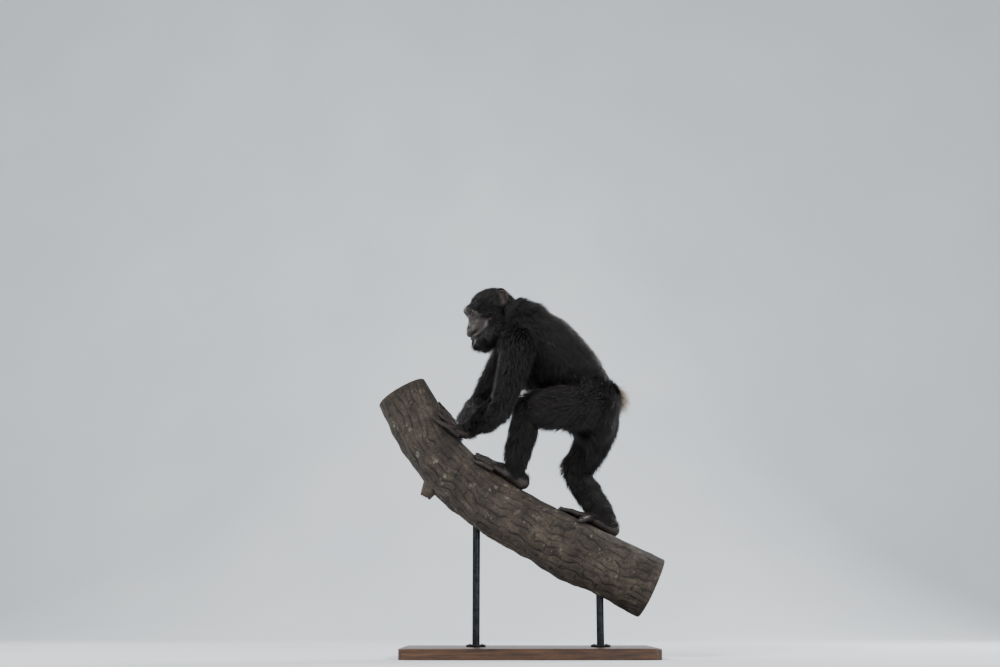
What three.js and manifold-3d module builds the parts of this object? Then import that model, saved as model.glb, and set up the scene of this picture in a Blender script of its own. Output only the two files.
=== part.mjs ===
// A life-size still model of an adolescent chimpanzee that walks up a sloping bough on its hands and feet.
// A short cut length of the bough is the perch. Two rods and a flat base hold it up.
// Millimetres, +Z up. The animal faces -X with its left side at -Y, and z = 0 is the underside of the base.
import * as THREE from "three";
import { mergeVertices } from "three/addons/utils/BufferGeometryUtils.js";
import Module from "manifold-3d";

const wasm = await Module();
wasm.setup();

const at = (x, y, z) => new THREE.Vector3(x, y, z);
const lerp = THREE.MathUtils.lerp;
const clamp = THREE.MathUtils.clamp;
const radians = THREE.MathUtils.degToRad;
const ACROSS = at(0, 1, 0);
const DOWN = at(0, 0, -1);
const SIDES = ["left", "right"];

// Clearance and coat
const GAP = 0.3; // between two pieces that touch
const SLANT = 1.5; // growth along a slanting ray for each millimetre of growth across the surface
const COAT = 11; // how far the tips of the flat locks stand above the body under them
const SINK = 8; // how deep the root of a lock goes into that body

// Joint centres. Femur 247, tibia 230, humerus 265, radius 220.
const HIP = { left: [236, -60, 885], right: [246, 60, 885] };
const KNEE = { left: [-7, -108, 840], right: [163, 88, 658] };
const ANKLE = { left: [-54, -46, 630], right: [266, 34, 474] };
const SHOULDER = { left: [-40, -106, 1082], right: [-55, 104, 1115] };
const ELBOW = { left: [-104, -200, 833], right: [-176, 200, 925] };
const WRIST = { left: [-214, -26, 780], right: [-263, 62, 779] };

// The bough: the middle of its wood in the plane y = 0, as [x, z], from its top end down
const BOUGH_LINE = [[-461, 917], [-410, 832], [-360, 736], [-299, 655], [-198, 567], [-83, 485], [83, 393],
  [248, 312], [415, 232]];
const BOUGH = { top: 94, foot: 108, rings: 17, sides: 16, rough: 0.035 };
const STUB = { along: 300, radius: 26, reach: 36, lean: 0.35 }; // broken side shoot on its underside

// The stand
const BASE = { length: 860, width: 440, height: 36, corner: 24, edge: 3, middle: -10 };
const ROD = { radius: 13, collar: 34, collarHeight: 8, front: -190, rear: 235 };

// The head has a frame of its own: forward, left and up from the middle between the ear holes.
const HEAD_MIDDLE = at(-139, -4, 1219);
const HEAD_TURN = radians(20); // the face looks to the left
const HEAD_NOD = radians(26); // and down at the bough
const HEAD_TILT = radians(8); // the crown leans to the right
const HEAD_MESH = { heart: [38, 0, -10], rings: 30, sides: 34, crowding: 1.2, reach: 130 };
const EYE = { forward: 75, apart: 23, up: 9, radius: 11.5, lid: 2.6, slit: 25, height: 11 };
const EAR = { forward: -13, out: 55, up: 12, height: 68, width: 50, thick: 5, flare: radians(48), cup: 8 };
const NOSTRIL = { forward: 109, apart: 7, up: -31, radius: 3.4 };
const MOUTH = { forward: 84, up: -61, groove: 1.5 };

// A distance to each round form. It is negative inside.
function blend(a, b, reach) {
  const h = Math.max(reach - Math.abs(a - b), 0) / reach;
  return Math.min(a, b) - (h * h * reach) / 4;
}

const carve = (a, b, reach) => -blend(-a, b, reach);

function toBall(p, [x, y, z], [rx, ry, rz]) {
  const [qx, qy, qz] = [p.x - x, p.y - y, p.z - z];
  const share = Math.hypot(qx / rx, qy / ry, qz / rz);
  return share < 1e-6 ? -Math.min(rx, ry, rz) : Math.hypot(qx, qy, qz) * (1 - 1 / share);
}

function toRod(p, a, b, ra, rb) {
  const span = [b[0] - a[0], b[1] - a[1], b[2] - a[2]];
  const q = [p.x - a[0], p.y - a[1], p.z - a[2]];
  const dot = (u, v) => u[0] * v[0] + u[1] * v[1] + u[2] * v[2];
  const t = clamp(dot(q, span) / dot(span, span), 0, 1);
  return Math.hypot(q[0] - span[0] * t, q[1] - span[1] * t, q[2] - span[2] * t) - lerp(ra, rb, t);
}

// A limb is a smooth row of stations [x, y, z, half width, half depth]. The width lies along its side.
class Limb {
  constructor(stations, side = ACROSS, steps = 4) {
    this.side = side.clone().normalize();
    this.line = new THREE.CatmullRomCurve3(stations.map(([x, y, z]) => at(x, y, z)));
    this.sizes = new THREE.CatmullRomCurve3(stations.map((s) => at(s[3], s[4] ?? s[3], 0)));
    const count = (stations.length - 1) * steps;
    this.fine = Array.from({ length: count + 1 }, (_, i) => this.station(i / count));
  }

  station(t) {
    const size = this.sizes.getPoint(t);
    return { middle: this.line.getPoint(t), width: size.x, depth: size.y };
  }

  distance(p) {
    let least = Infinity;
    for (let i = 1; i < this.fine.length; i++) {
      const a = this.fine[i - 1];
      const b = this.fine[i];
      const [sx, sy, sz] = [b.middle.x - a.middle.x, b.middle.y - a.middle.y, b.middle.z - a.middle.z];
      const [qx, qy, qz] = [p.x - a.middle.x, p.y - a.middle.y, p.z - a.middle.z];
      const t = clamp((qx * sx + qy * sy + qz * sz) / (sx * sx + sy * sy + sz * sz), 0, 1);
      const [dx, dy, dz] = [qx - sx * t, qy - sy * t, qz - sz * t];
      const reach = Math.hypot(dx, dy, dz);
      const lateral = dx * this.side.x + dy * this.side.y + dz * this.side.z;
      const rest = Math.sqrt(Math.max(reach * reach - lateral * lateral, 0));
      const share = Math.hypot(lateral / lerp(a.width, b.width, t), rest / lerp(a.depth, b.depth, t));
      least = Math.min(least, share < 1e-6 ? -a.depth : reach * (1 - 1 / share));
    }
    return least;
  }
}

// The trunk and limbs, without the outer half of the coat
const trunk = new Limb([
  [-48, 0, 1160, 92, 84],
  [-20, 0, 1138, 120, 98],
  [50, 0, 1088, 126, 102],
  [110, 0, 1032, 121, 100],
  [160, 0, 975, 111, 94],
  [196, 0, 921, 106, 90],
  [222, 0, 868, 106, 85],
  [236, 0, 822, 88, 66],
]);
const neck = new Limb([
  [-112, -2, 1190, 52, 56],
  [-82, 0, 1177, 68, 68],
  [-40, 0, 1155, 92, 82],
]);
const upperArm = {
  left: new Limb([[...SHOULDER.left, 58], [-52, -133, 1022, 52], [-68, -160, 955, 45], [-86, -180, 892, 39],
    [...ELBOW.left, 36]]),
  right: new Limb([[...SHOULDER.right, 58], [-85, 128, 1068, 52], [-116, 152, 1020, 45], [-148, 178, 970, 40],
    [...ELBOW.right, 37]]),
};
const forearm = {
  left: new Limb([[...ELBOW.left, 36], [-128, -166, 824, 37], [-158, -118, 808, 34], [-190, -66, 792, 28],
    [...WRIST.left, 24]]),
  right: new Limb([[...ELBOW.right, 37], [-198, 166, 884, 37], [-224, 124, 842, 33], [-248, 86, 804, 27],
    [...WRIST.right, 24]]),
};
const thigh = {
  left: new Limb([[...HIP.left, 80], [180, -80, 862, 78], [110, -94, 850, 70], [48, -103, 844, 61],
    [...KNEE.left, 50]]),
  right: new Limb([[...HIP.right, 80], [245, 66, 825, 74], [230, 73, 770, 66], [206, 80, 718, 57],
    [180, 86, 682, 51], [...KNEE.right, 46]]),
};
const shank = {
  left: new Limb([[...KNEE.left, 50], [-16, -96, 788, 48], [-28, -82, 740, 44], [-42, -64, 686, 37],
    [...ANKLE.left, 29]]),
  right: new Limb([[...KNEE.right, 46], [181, 78, 612, 45], [209, 66, 560, 42], [236, 52, 516, 37],
    [...ANKLE.right, 30]]),
};

// The head's frame in the world
const ahead = at(-Math.cos(HEAD_TURN), -Math.sin(HEAD_TURN), 0);
const FORWARD = ahead.clone().multiplyScalar(Math.cos(HEAD_NOD)).addScaledVector(DOWN, Math.sin(HEAD_NOD));
const risen = ahead.clone().multiplyScalar(Math.sin(HEAD_NOD)).addScaledVector(DOWN, -Math.cos(HEAD_NOD));
const level = risen.clone().cross(FORWARD);
const UP = risen.clone().multiplyScalar(Math.cos(HEAD_TILT)).addScaledVector(level, -Math.sin(HEAD_TILT));
const LEFT = level.clone().multiplyScalar(Math.cos(HEAD_TILT)).addScaledVector(risen, Math.sin(HEAD_TILT));

const headWay = (f, l, u) => at(0, 0, 0).addScaledVector(FORWARD, f).addScaledVector(LEFT, l).addScaledVector(UP, u);
const fromHead = (f, l, u) => headWay(f, l, u).add(HEAD_MIDDLE);

function headDistance(world) {
  const [x, y, z] = [world.x - HEAD_MIDDLE.x, world.y - HEAD_MIDDLE.y, world.z - HEAD_MIDDLE.z];
  const along = (axis) => x * axis.x + y * axis.y + z * axis.z;
  const p = { x: along(FORWARD), y: Math.abs(along(LEFT)), z: along(UP) }; // both sides are alike
  let d = toBall(p, [2, 0, 20], [73, 57, 46]); // braincase
  d = blend(d, toBall(p, [-36, 0, -6], [46, 50, 44]), 20); // back of the head
  d = blend(d, toBall(p, [60, 0, -14], [32, 42, 42]), 16); // middle of the face
  d = blend(d, toRod(p, [66, 38, -8], [20, 55, -8], 12, 11), 14); // cheekbone
  d = blend(d, toRod(p, [22, 42, -54], [8, 48, -10], 22, 18), 20); // angle of the jaw
  d = blend(d, toRod(p, [84, 18, -74], [22, 42, -54], 17, 22), 20); // side of the jaw
  d = blend(d, toBall(p, [10, 0, -46], [58, 42, 34]), 24); // throat
  d = blend(d, toBall(p, [84, 0, -44], [40, 37, 32]), 14); // muzzle
  d = blend(d, toRod(p, [85, 0, 29], [84, 14, 30], 9.5, 9.5), 8); // brow ridge, middle
  d = blend(d, toRod(p, [84, 14, 30], [69, 42, 25], 9.5, 8), 8); // brow ridge, side
  d = carve(d, toBall(p, [98, 25, 7], [15, 15, 12]), 9); // hollow round the eye
  d = blend(d, toRod(p, [82, 0, 8], [98, 0, -20], 7, 8), 9); // bridge of the nose
  d = blend(d, toBall(p, [104, 0, -26], [8, 7, 6]), 6); // tip of the nose
  d = blend(d, toBall(p, [102, 9, -27], [8, 7, 6.5]), 5); // wing of the nose
  d = blend(d, toBall(p, [108, 0, -51], [19, 33, 14]), 7); // upper lip
  d = blend(d, toBall(p, [104, 0, -71], [19, 28, 12]), 6); // lower lip
  d = blend(d, toBall(p, [90, 0, -83], [20, 24, 14]), 12); // chin
  d = blend(d, toRod(p, [84, 12, -98], [34, 26, -96], 14, 24), 12); // beard, as one smooth form
  const lids = EYE.radius + EYE.lid;
  return blend(d, toBall(p, [EYE.forward, EYE.apart, EYE.up], [lids, lids, lids]), 5);
}

// The whole body as one skin, so that shoulders, hips and neck run into one another
const SOFT = { neck: 40, head: 22, arm: 34, leg: 24, joint: 10 };

function bodyDistance(p) {
  let d = blend(trunk.distance(p), neck.distance(p), SOFT.neck);
  let ends = Infinity;
  for (const side of SIDES) {
    const [arm, leg] = [upperArm[side].distance(p), thigh[side].distance(p)];
    d = blend(blend(d, arm, SOFT.arm), leg, SOFT.leg);
    ends = Math.min(ends, blend(arm, forearm[side].distance(p), SOFT.joint));
    ends = Math.min(ends, blend(leg, shank[side].distance(p), SOFT.joint));
  }
  return Math.min(d, ends);
}

const skinDistance = (p) => blend(bodyDistance(p), headDistance(p), SOFT.head);

function slope(p, distance) {
  const e = 0.5;
  const rate = (way) => distance(p.clone().addScaledVector(way, e)) - distance(p.clone().addScaledVector(way, -e));
  return at(rate(at(1, 0, 0)), rate(at(0, 1, 0)), rate(at(0, 0, 1))).normalize();
}

// The nearest surface point outward or inward of p
function settle(p, distance, height = 0) {
  const q = p.clone();
  for (let i = 0; i < 4; i++) q.addScaledVector(slope(q, distance), height - distance(q));
  return q;
}

// How far out the surface lies from a point inside it, but no further than the given reach
function cast(origin, way, distance, reach) {
  const inside = (r) => distance(origin.clone().addScaledVector(way, r)) < 0;
  const step = reach / 16;
  for (let r = step; r <= reach; r += step) {
    if (inside(r)) continue;
    let [low, high] = [r - step, r];
    for (let i = 0; i < 12; i++) {
      const half = (low + high) / 2;
      if (inside(half)) low = half;
      else high = half;
    }
    return low;
  }
  return reach;
}

// A closed mesh from rings of points, with one point at each end
function loft(rings, start, end) {
  const sides = rings[0].length;
  const index = [];
  const id = (ring, i) => 1 + ring * sides + (i % sides);
  const last = rings.length - 1;
  for (let i = 0; i < sides; i++) {
    index.push(0, id(0, i + 1), id(0, i));
    for (let ring = 1; ring <= last; ring++) {
      const [a, b, c, d] = [id(ring - 1, i), id(ring - 1, i + 1), id(ring, i + 1), id(ring, i)];
      index.push(a, b, c, a, c, d);
    }
    index.push(1 + rings.length * sides, id(last, i), id(last, i + 1));
  }
  return new THREE.BufferGeometry().setFromPoints([start, ...rings.flat(), end]).setIndex(index);
}

function solidOf(geometry) {
  const plain = new THREE.BufferGeometry().setAttribute("position", geometry.getAttribute("position"));
  if (geometry.index) plain.setIndex(geometry.index);
  const merged = mergeVertices(plain, 1e-4);
  const solid = new wasm.Manifold(new wasm.Mesh({
    numProp: 3,
    vertProperties: new Float32Array(merged.attributes.position.array),
    triVerts: new Uint32Array(merged.index.array),
  }));
  if (solid.volume() < 0) throw new Error("a mesh is inside out");
  return solid;
}

const unite = (solids) => solids.reduce((all, next) => all.add(next));
const largest = (solid) => solid.decompose().sort((a, b) => b.volume() - a.volume())[0];

// A tube of rings round a limb's line. Each point is cast out to the surface, and the ends are round.
const END_TILTS = [radians(-58), radians(-27)];

function tube(limb, distance, { rings, sides, slack = 1.3, tilts = END_TILTS }, grow = 0) {
  const frame = (t) => {
    const along = limb.line.getTangent(t);
    const u = limb.side.clone().addScaledVector(along, -limb.side.dot(along)).normalize();
    return { along, u, v: along.clone().cross(u) };
  };
  const point = (t, way) => {
    const { middle, width, depth } = limb.station(t);
    const lateral = Math.abs(way.dot(limb.side));
    const own = 1 / Math.hypot(lateral / width, Math.sqrt(Math.max(1 - lateral * lateral, 0)) / depth);
    return middle.clone().addScaledVector(way, cast(middle, way, distance, own * slack) + grow * SLANT);
  };
  const row = (t, tilt) => {
    const { along, u, v } = frame(t);
    return Array.from({ length: sides }, (_, i) => {
      const turn = (i / sides) * Math.PI * 2;
      const spoke = u.clone().multiplyScalar(Math.cos(turn)).addScaledVector(v, Math.sin(turn));
      return point(t, spoke.multiplyScalar(Math.cos(tilt)).addScaledVector(along, Math.sin(tilt)));
    });
  };
  const rows = tilts.map((tilt) => row(0, tilt));
  for (let i = 0; i < rings; i++) rows.push(row(i / (rings - 1), 0));
  for (const tilt of tilts.toReversed()) rows.push(row(1, -tilt));
  return solidOf(loft(rows, point(0, frame(0).along.negate()), point(1, frame(1).along)));
}

// A round rod through a few points, for digits
function digit(points, radii, sides = 6) {
  const limb = new Limb(points.map((p, i) => [p.x, p.y, p.z, radii[i]]), at(0.3, 0.9, 0.2), 2);
  return tube(limb, (p) => limb.distance(p), { rings: points.length, sides, slack: 1.8, tilts: [radians(-42)] });
}

// Repeatable chance
function dice(seed) {
  let state = seed;
  return () => {
    state = (state + 0x6d2b79f5) | 0;
    let t = Math.imul(state ^ (state >>> 15), 1 | state);
    t = (t + Math.imul(t ^ (t >>> 7), 61 | t)) ^ t;
    return ((t ^ (t >>> 14)) >>> 0) / 2 ** 32;
  };
}

// A flat, tapered lock of hair. Its root is sunk in the body, and it bends along the lie of the coat.
const LOCK_WIDTHS = [0.55, 1, 0.7];

function lock({ root, lie, length, width, thick = 8, lift = COAT, droop = 0, hang = 0 }, distance, grow = 0) {
  const steps = LOCK_WIDTHS.length;
  const p = root.clone();
  const way = lie.clone().normalize();
  const spine = [];
  const outs = [];
  for (let i = 0; i <= steps; i++) {
    const out = slope(p, distance);
    const height = i === 0 ? -SINK : lift * Math.pow(i / steps, 1.2);
    const short = height - distance(p);
    p.addScaledVector(out, short > 0 ? short : short * (i === 0 ? 1 : 1 - hang));
    spine.push(p.clone());
    outs.push(out);
    way.addScaledVector(DOWN, droop);
    way.addScaledVector(out, -way.dot(out) * (1 - hang)).normalize();
    p.addScaledVector(way, length / steps);
  }
  const rings = LOCK_WIDTHS.map((share, i) => {
    const along = spine[i + 1].clone().sub(spine[Math.max(i - 1, 0)]).normalize();
    const across = along.clone().cross(outs[i]).normalize();
    const out = across.clone().cross(along);
    const half = (width * share) / 2 + grow;
    const rise = (thick * share) / 2 + grow;
    const corner = (a, b) => spine[i].clone().addScaledVector(across, a * half).addScaledVector(out, b * rise);
    return [corner(1, 0), corner(0, -1), corner(-1, 0), corner(0, 1)];
  });
  const tip = spine[steps].clone().addScaledVector(spine[steps].clone().sub(spine[steps - 1]).normalize(), grow * 2);
  const heel = spine[0].clone().addScaledVector(outs[0], -grow - 2);
  return solidOf(loft(rings, heel, tip));
}

// Rows of locks round a limb, set like bricks
function coat(limb, { rows, around, from = 0, to = 1, length, width, toward = 1, droop = 0.2, seed, keep }) {
  const chance = dice(seed);
  const specs = [];
  for (let row = 0; row < rows; row++)
    for (let i = 0; i < around; i++) {
      const t = clamp(lerp(from, to, (row + (chance() - 0.5) * 0.3) / (rows - 1)), 0, 1);
      const turn = ((i + (row % 2) / 2 + (chance() - 0.5) * 0.3) / around) * Math.PI * 2;
      const stretch = 0.88 + chance() * 0.24;
      const { middle, width: w, depth } = limb.station(t);
      const along = limb.line.getTangent(t);
      const u = limb.side.clone().addScaledVector(along, -limb.side.dot(along)).normalize();
      const v = along.clone().cross(u);
      const spoke = u.multiplyScalar(Math.cos(turn) * w).addScaledVector(v, Math.sin(turn) * depth);
      const start = middle.clone().addScaledVector(spoke, 0.9);
      const root = settle(start, bodyDistance);
      if (limb.distance(root) > 7 || root.distanceTo(start) > 40) continue;
      const spec = { root, lie: along.multiplyScalar(toward), length: length * stretch, width, droop };
      if (!keep || keep(spec)) specs.push(spec);
    }
  return specs;
}

// The head: rays from inside the face, closer together at the muzzle
function headCore(grow) {
  const heart = fromHead(...HEAD_MESH.heart);
  const reach = (way) =>
    heart.clone().addScaledVector(way, cast(heart, way, headDistance, HEAD_MESH.reach) + grow * SLANT);
  const rows = [];
  for (let i = 1; i < HEAD_MESH.rings; i++) {
    const polar = Math.PI * Math.pow(i / HEAD_MESH.rings, HEAD_MESH.crowding);
    rows.push(Array.from({ length: HEAD_MESH.sides }, (_, k) => {
      const turn = (k / HEAD_MESH.sides) * Math.PI * 2;
      const spread = Math.sin(polar);
      return reach(headWay(Math.cos(polar), spread * Math.cos(turn), -spread * Math.sin(turn)));
    }));
  }
  return solidOf(loft(rows, reach(FORWARD), reach(FORWARD.clone().negate())));
}

function ball(middle, radius, stretch = 1) {
  const shape = new THREE.SphereGeometry(radius, 12, 8).rotateX(Math.PI / 2).scale(1, 1, stretch);
  return solidOf(shape.applyMatrix4(new THREE.Matrix4().makeBasis(LEFT, UP, FORWARD).setPosition(middle)));
}

const eyeMiddle = (sign) => fromHead(EYE.forward, sign * EYE.apart, EYE.up);

// The almond-shaped opening between the lids
function lidSlit(sign) {
  const [half, rise] = [EYE.slit / 2, EYE.height];
  const almond = new THREE.Shape().moveTo(-half, 0);
  almond.quadraticCurveTo(-half * 0.1, rise, half, 0);
  almond.quadraticCurveTo(half * 0.1, -rise * 0.85, -half, 0);
  const shape = new THREE.ExtrudeGeometry(almond, { depth: 24, bevelEnabled: false, curveSegments: 5 });
  const place = new THREE.Matrix4().makeBasis(LEFT, UP, FORWARD);
  return solidOf(shape.applyMatrix4(place.setPosition(fromHead(EYE.forward + 3, sign * EYE.apart, EYE.up))));
}

// A thin rod along the lips that cuts the line of the mouth
function mouthLine() {
  const points = [];
  for (let i = -5; i <= 5; i++) {
    const turn = radians(i * 15);
    const from = fromHead(MOUTH.forward, 0, MOUTH.up + 0.2 * i * i);
    const way = headWay(Math.cos(turn), Math.sin(turn), 0);
    points.push(from.addScaledVector(way, cast(from, way, headDistance, 60)));
  }
  return digit(points, points.map(() => MOUTH.groove), 5);
}

// Locks of the chin, the jaws, the cheeks, the throat and the back of the head
function headCoat() {
  const chance = dice(11);
  const specs = [];
  const add = (f, l, u, lie, length, width, more = {}) => {
    const root = settle(fromHead(f, l, u), skinDistance);
    specs.push({ root, lie, length: length * (0.88 + chance() * 0.24), width, thick: 7, ...more });
  };
  for (let i = -5; i <= 5; i++) {
    const a = i / 5;
    const back = at(0.35, a * 0.1, -1);
    add(92 - 78 * a * a, 50 * a, -96 + 34 * a * a, back, 44, 24, { droop: 0.4, hang: 0.75 }); // chin and jaws
    add(66 - 54 * a * a, 38 * a, -90 + 24 * a * a, back, 50, 26, { droop: 0.4, hang: 0.75 }); // throat
  }
  for (const sign of [-1, 1])
    for (let i = 0; i < 4; i++) {
      const lie = headWay(-0.5, sign * 0.1, -1);
      add(42 - 15 * i, sign * (52 + i), -30 + 7 * i, lie, 46, 26, { droop: 0.25, hang: 0.4 }); // cheeks
    }
  for (let i = -2; i <= 2; i++)
    add(-62, 24 * i, 34 - 7 * i * i, headWay(-1, 0, -0.7), 50, 34, { lift: 8 }); // back of the head
  return specs;
}

// An ear: a cupped plate with a rolled rim, whose front edge is sunk in the side of the head
const EAR_FRONT = [0.34, 0.6, 0.78, 0.92, 1];
const EAR_BACK = [0.86, 0.5];

function ear(sign, grow) {
  const wide = headWay(-Math.cos(EAR.flare), sign * Math.sin(EAR.flare), 0);
  const front = headWay(Math.sin(EAR.flare), sign * Math.cos(EAR.flare), 0);
  const high = wide.clone().cross(front); // up on one side, down on the other
  const upward = Math.sign(high.dot(UP));
  const middle = fromHead(EAR.forward, sign * EAR.out, EAR.up).addScaledVector(wide, EAR.width * 0.4);
  const edge = grow * 1.5;
  const point = (share, turn, depth) => {
    const rise = Math.sin(turn) * upward;
    const across = Math.cos(turn) * (1 + 0.12 * rise) * (EAR.width / 2) * share;
    const along = Math.sin(turn) * (1 - 0.06 * rise) * (EAR.height / 2) * share;
    const lean = -0.16 * along * upward; // the top leans back
    return middle.clone().addScaledVector(wide, (across - lean) * (1 + edge / EAR.width))
      .addScaledVector(high, along * (1 + edge / EAR.height)).addScaledVector(front, depth);
  };
  const dish = (share) => -EAR.cup * (1 - share * share) + (share > 0.7 && share < 1 ? 1.8 : 0);
  const ring = (share, depth) => Array.from({ length: 18 }, (_, i) => point(share, (i / 18) * Math.PI * 2, depth));
  const rows = EAR_FRONT.map((share) => ring(share, dish(share) + grow * (share < 1 ? 1 : 0)));
  for (const share of EAR_BACK) rows.push(ring(share, dish(share) - EAR.thick - grow));
  return solidOf(loft(rows, point(0, 0, dish(0) + grow), point(0, 0, dish(0) - EAR.thick - grow)));
}

// The bough, in its own measures: along its length, turned round it from the top (degrees), and out from it
const boughLine = new THREE.CatmullRomCurve3(BOUGH_LINE.map(([x, z]) => at(x, 0, z)));
const BOUGH_LENGTH = boughLine.getLength();
const boughRadius = (along) => lerp(BOUGH.top, BOUGH.foot, along / BOUGH_LENGTH);

function boughFrame(along) {
  const way = boughLine.getTangentAt(along / BOUGH_LENGTH);
  return { middle: boughLine.getPointAt(along / BOUGH_LENGTH), way, up: at(-way.z, 0, way.x) };
}

function onBough(along, degrees, out) {
  const { middle, up } = boughFrame(along);
  const turn = radians(degrees);
  const spoke = up.multiplyScalar(Math.cos(turn)).addScaledVector(ACROSS, Math.sin(turn));
  return middle.addScaledVector(spoke, boughRadius(along) + out);
}

function roundBough(degrees, along) {
  const turn = radians(degrees);
  return ACROSS.clone().multiplyScalar(Math.cos(turn)).addScaledVector(boughFrame(along).up, -Math.sin(turn));
}

function bough(grow) {
  const rows = [];
  for (let i = 0; i <= BOUGH.rings; i++) {
    const share = i / BOUGH.rings;
    const along = lerp(-grow, BOUGH_LENGTH + grow, share);
    const { middle, way, up } = boughFrame(clamp(along, 0, BOUGH_LENGTH));
    middle.addScaledVector(way, along - clamp(along, 0, BOUGH_LENGTH));
    const side = way.clone().cross(up);
    rows.push(Array.from({ length: BOUGH.sides }, (_, k) => {
      const turn = (k / BOUGH.sides) * Math.PI * 2;
      const under = Math.pow((1 - Math.cos(turn)) / 2, 0.6); // smooth on top, where the animal holds it
      const wave = Math.sin(share * 19 + turn * 2) + 0.7 * Math.sin(share * 31 - turn * 3 + 1) + 0.5 * Math.sin(turn * 4);
      const radius = boughRadius(share * BOUGH_LENGTH) * (1 + BOUGH.rough * under * wave) + grow;
      return middle.clone().addScaledVector(up, Math.cos(turn) * radius).addScaledVector(side, Math.sin(turn) * radius);
    }));
  }
  const wood = solidOf(loft(rows, middleOf(rows[0]), middleOf(rows.at(-1))));
  const { middle, way, up } = boughFrame(STUB.along);
  const lean = up.negate().addScaledVector(way, STUB.lean).normalize();
  const reach = [0, boughRadius(STUB.along) * 0.8, boughRadius(STUB.along) + STUB.reach];
  const points = reach.map((r) => middle.clone().addScaledVector(lean, r));
  return wood.add(digit(points, [STUB.radius * 1.3, STUB.radius * 1.2, STUB.radius * 0.7].map((r) => r + grow), 9));
}

function middleOf(points) {
  return points.reduce((sum, p) => sum.add(p), at(0, 0, 0)).divideScalar(points.length);
}

// Hands and feet, on the bough. Each finger or toe runs from its knuckle to its tip, [along, degrees].
const HAND = {
  left: {
    palm: [[262, -13, 34, 31, 23], [228, -19, 19, 38, 15]],
    knuckles: [[225, -3], [224, -14], [226, -25], [232, -36]],
    tips: [[140, -10], [135, -26], [142, -42], [158, -56]],
    thumb: [[272, -1, 25], [252, 5, 17], [234, 9, 11], [224, 11, 8]],
  },
  right: {
    palm: [[226, 29, 28, 31, 22], [192, 32, 18, 38, 15]],
    knuckles: [[188, 16], [187, 27], [189, 38], [195, 49]],
    tips: [[98, 20], [92, 34], [100, 50], [118, 63]],
    thumb: [[236, 14, 22], [216, 8, 16], [200, 6, 11], [190, 5, 8]],
  },
};
const FOOT = { left: { heel: 571, middle: -17 }, right: { heel: 940, middle: 14 } };
const DIGIT = { bends: [-0.26, 0.08, 0.42, 0.78, 1], finger: [15, 17, 19, 11, 7.5], toe: [17, 16, 15, 9, 7] };
const FINGER_RADII = [9, 10, 9.4, 8.6, 6.4];
const TOE_RADII = [9, 10, 8.8, 8.2, 6.4];

function digitOnBough(knuckle, tip, heights, radii) {
  const points = DIGIT.bends.map((share, i) =>
    onBough(lerp(knuckle[0], tip[0], share), lerp(knuckle[1], tip[1], share), heights[i]));
  return digit(points, radii);
}

function hand(side, grow) {
  const plan = HAND[side];
  const palmLine = plan.palm.map(([along, degrees, out, w, d]) => [...onBough(along, degrees, out), w, d]);
  const [along, degrees] = plan.palm[1];
  const palm = new Limb([[...WRIST[side], 25, 24], ...palmLine], roundBough(degrees, along));
  const solids = [tube(palm, (p) => palm.distance(p), { rings: 5, sides: 13, slack: 1.5, tilts: [radians(-45)] }, grow)];
  const radii = FINGER_RADII.map((r) => r + grow);
  plan.knuckles.forEach((knuckle, i) => solids.push(digitOnBough(knuckle, plan.tips[i], DIGIT.finger, radii)));
  const thumb = plan.thumb.map((place) => onBough(...place));
  solids.push(digit(thumb, [11, 10.5, 9.5, 7.5].map((r) => r + grow)));
  return unite(solids);
}

function foot(side, grow) {
  const { heel, middle } = FOOT[side];
  const outer = Math.sign(middle);
  const sole = [[0, 24, 25, 25], [-38, 29, 27, 28], [-71, 26, 30, 24], [-101, 20, 34, 18], [-131, 15, 37, 14]];
  const stations = sole.map(([shift, out, w, d]) => [...onBough(heel + shift, middle, out), w, d]);
  const limb = new Limb(stations, roundBough(middle, heel - 90));
  const solids = [tube(limb, (p) => limb.distance(p), { rings: 6, sides: 12, slack: 1.5 }, grow)];
  const radii = TOE_RADII.map((r) => r + grow);
  for (let i = 0; i < 4; i++) {
    const degrees = middle + outer * (11.4 * i - 12);
    const knuckle = [heel - 136, degrees];
    const tip = [heel - [197, 200, 195, 184][i], degrees + outer * (1 + i)];
    solids.push(digitOnBough(knuckle, tip, DIGIT.toe, radii));
  }
  const inward = [-10, 6, 26, 38, 46];
  const bigToe = inward.map((turn, i) =>
    onBough(heel - [70, 84, 102, 114, 122][i], middle - outer * turn, [25, 24, 16, 11, 8][i]));
  solids.push(digit(bigToe, [14, 14, 12, 10.5, 8].map((r) => r + grow)));
  return unite(solids);
}

// The stand
function standBase() {
  const [x, y] = [BASE.length / 2 - BASE.edge, BASE.width / 2 - BASE.edge];
  const r = BASE.corner;
  const outline = new THREE.Shape().moveTo(x, -y + r);
  outline.absarc(x - r, y - r, r, 0, Math.PI / 2);
  outline.absarc(-x + r, y - r, r, Math.PI / 2, Math.PI);
  outline.absarc(-x + r, -y + r, r, Math.PI, Math.PI * 1.5);
  outline.absarc(x - r, -y + r, r, Math.PI * 1.5, Math.PI * 2);
  const bevel = { bevelThickness: BASE.edge, bevelSize: BASE.edge, bevelSegments: 1, curveSegments: 4 };
  const plate = new THREE.ExtrudeGeometry(outline, { depth: BASE.height - 2 * BASE.edge, ...bevel });
  return solidOf(plate.translate(BASE.middle, 0, BASE.edge));
}

function standRod(x) {
  const foot = BASE.height + GAP;
  const { radius, collar, collarHeight } = ROD;
  const profile = [[0, foot], [collar, foot], [collar, foot + collarHeight - 2], [collar - 2, foot + collarHeight],
    [radius, foot + collarHeight], [radius, 480], [0, 480]];
  const shape = new THREE.LatheGeometry(profile.map(([r, z]) => new THREE.Vector2(r, z)), 14);
  return solidOf(shape.rotateX(Math.PI / 2).translate(x, 0, 0));
}

// Every piece takes its own room, less what the pieces before it have taken
const taken = [];

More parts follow.
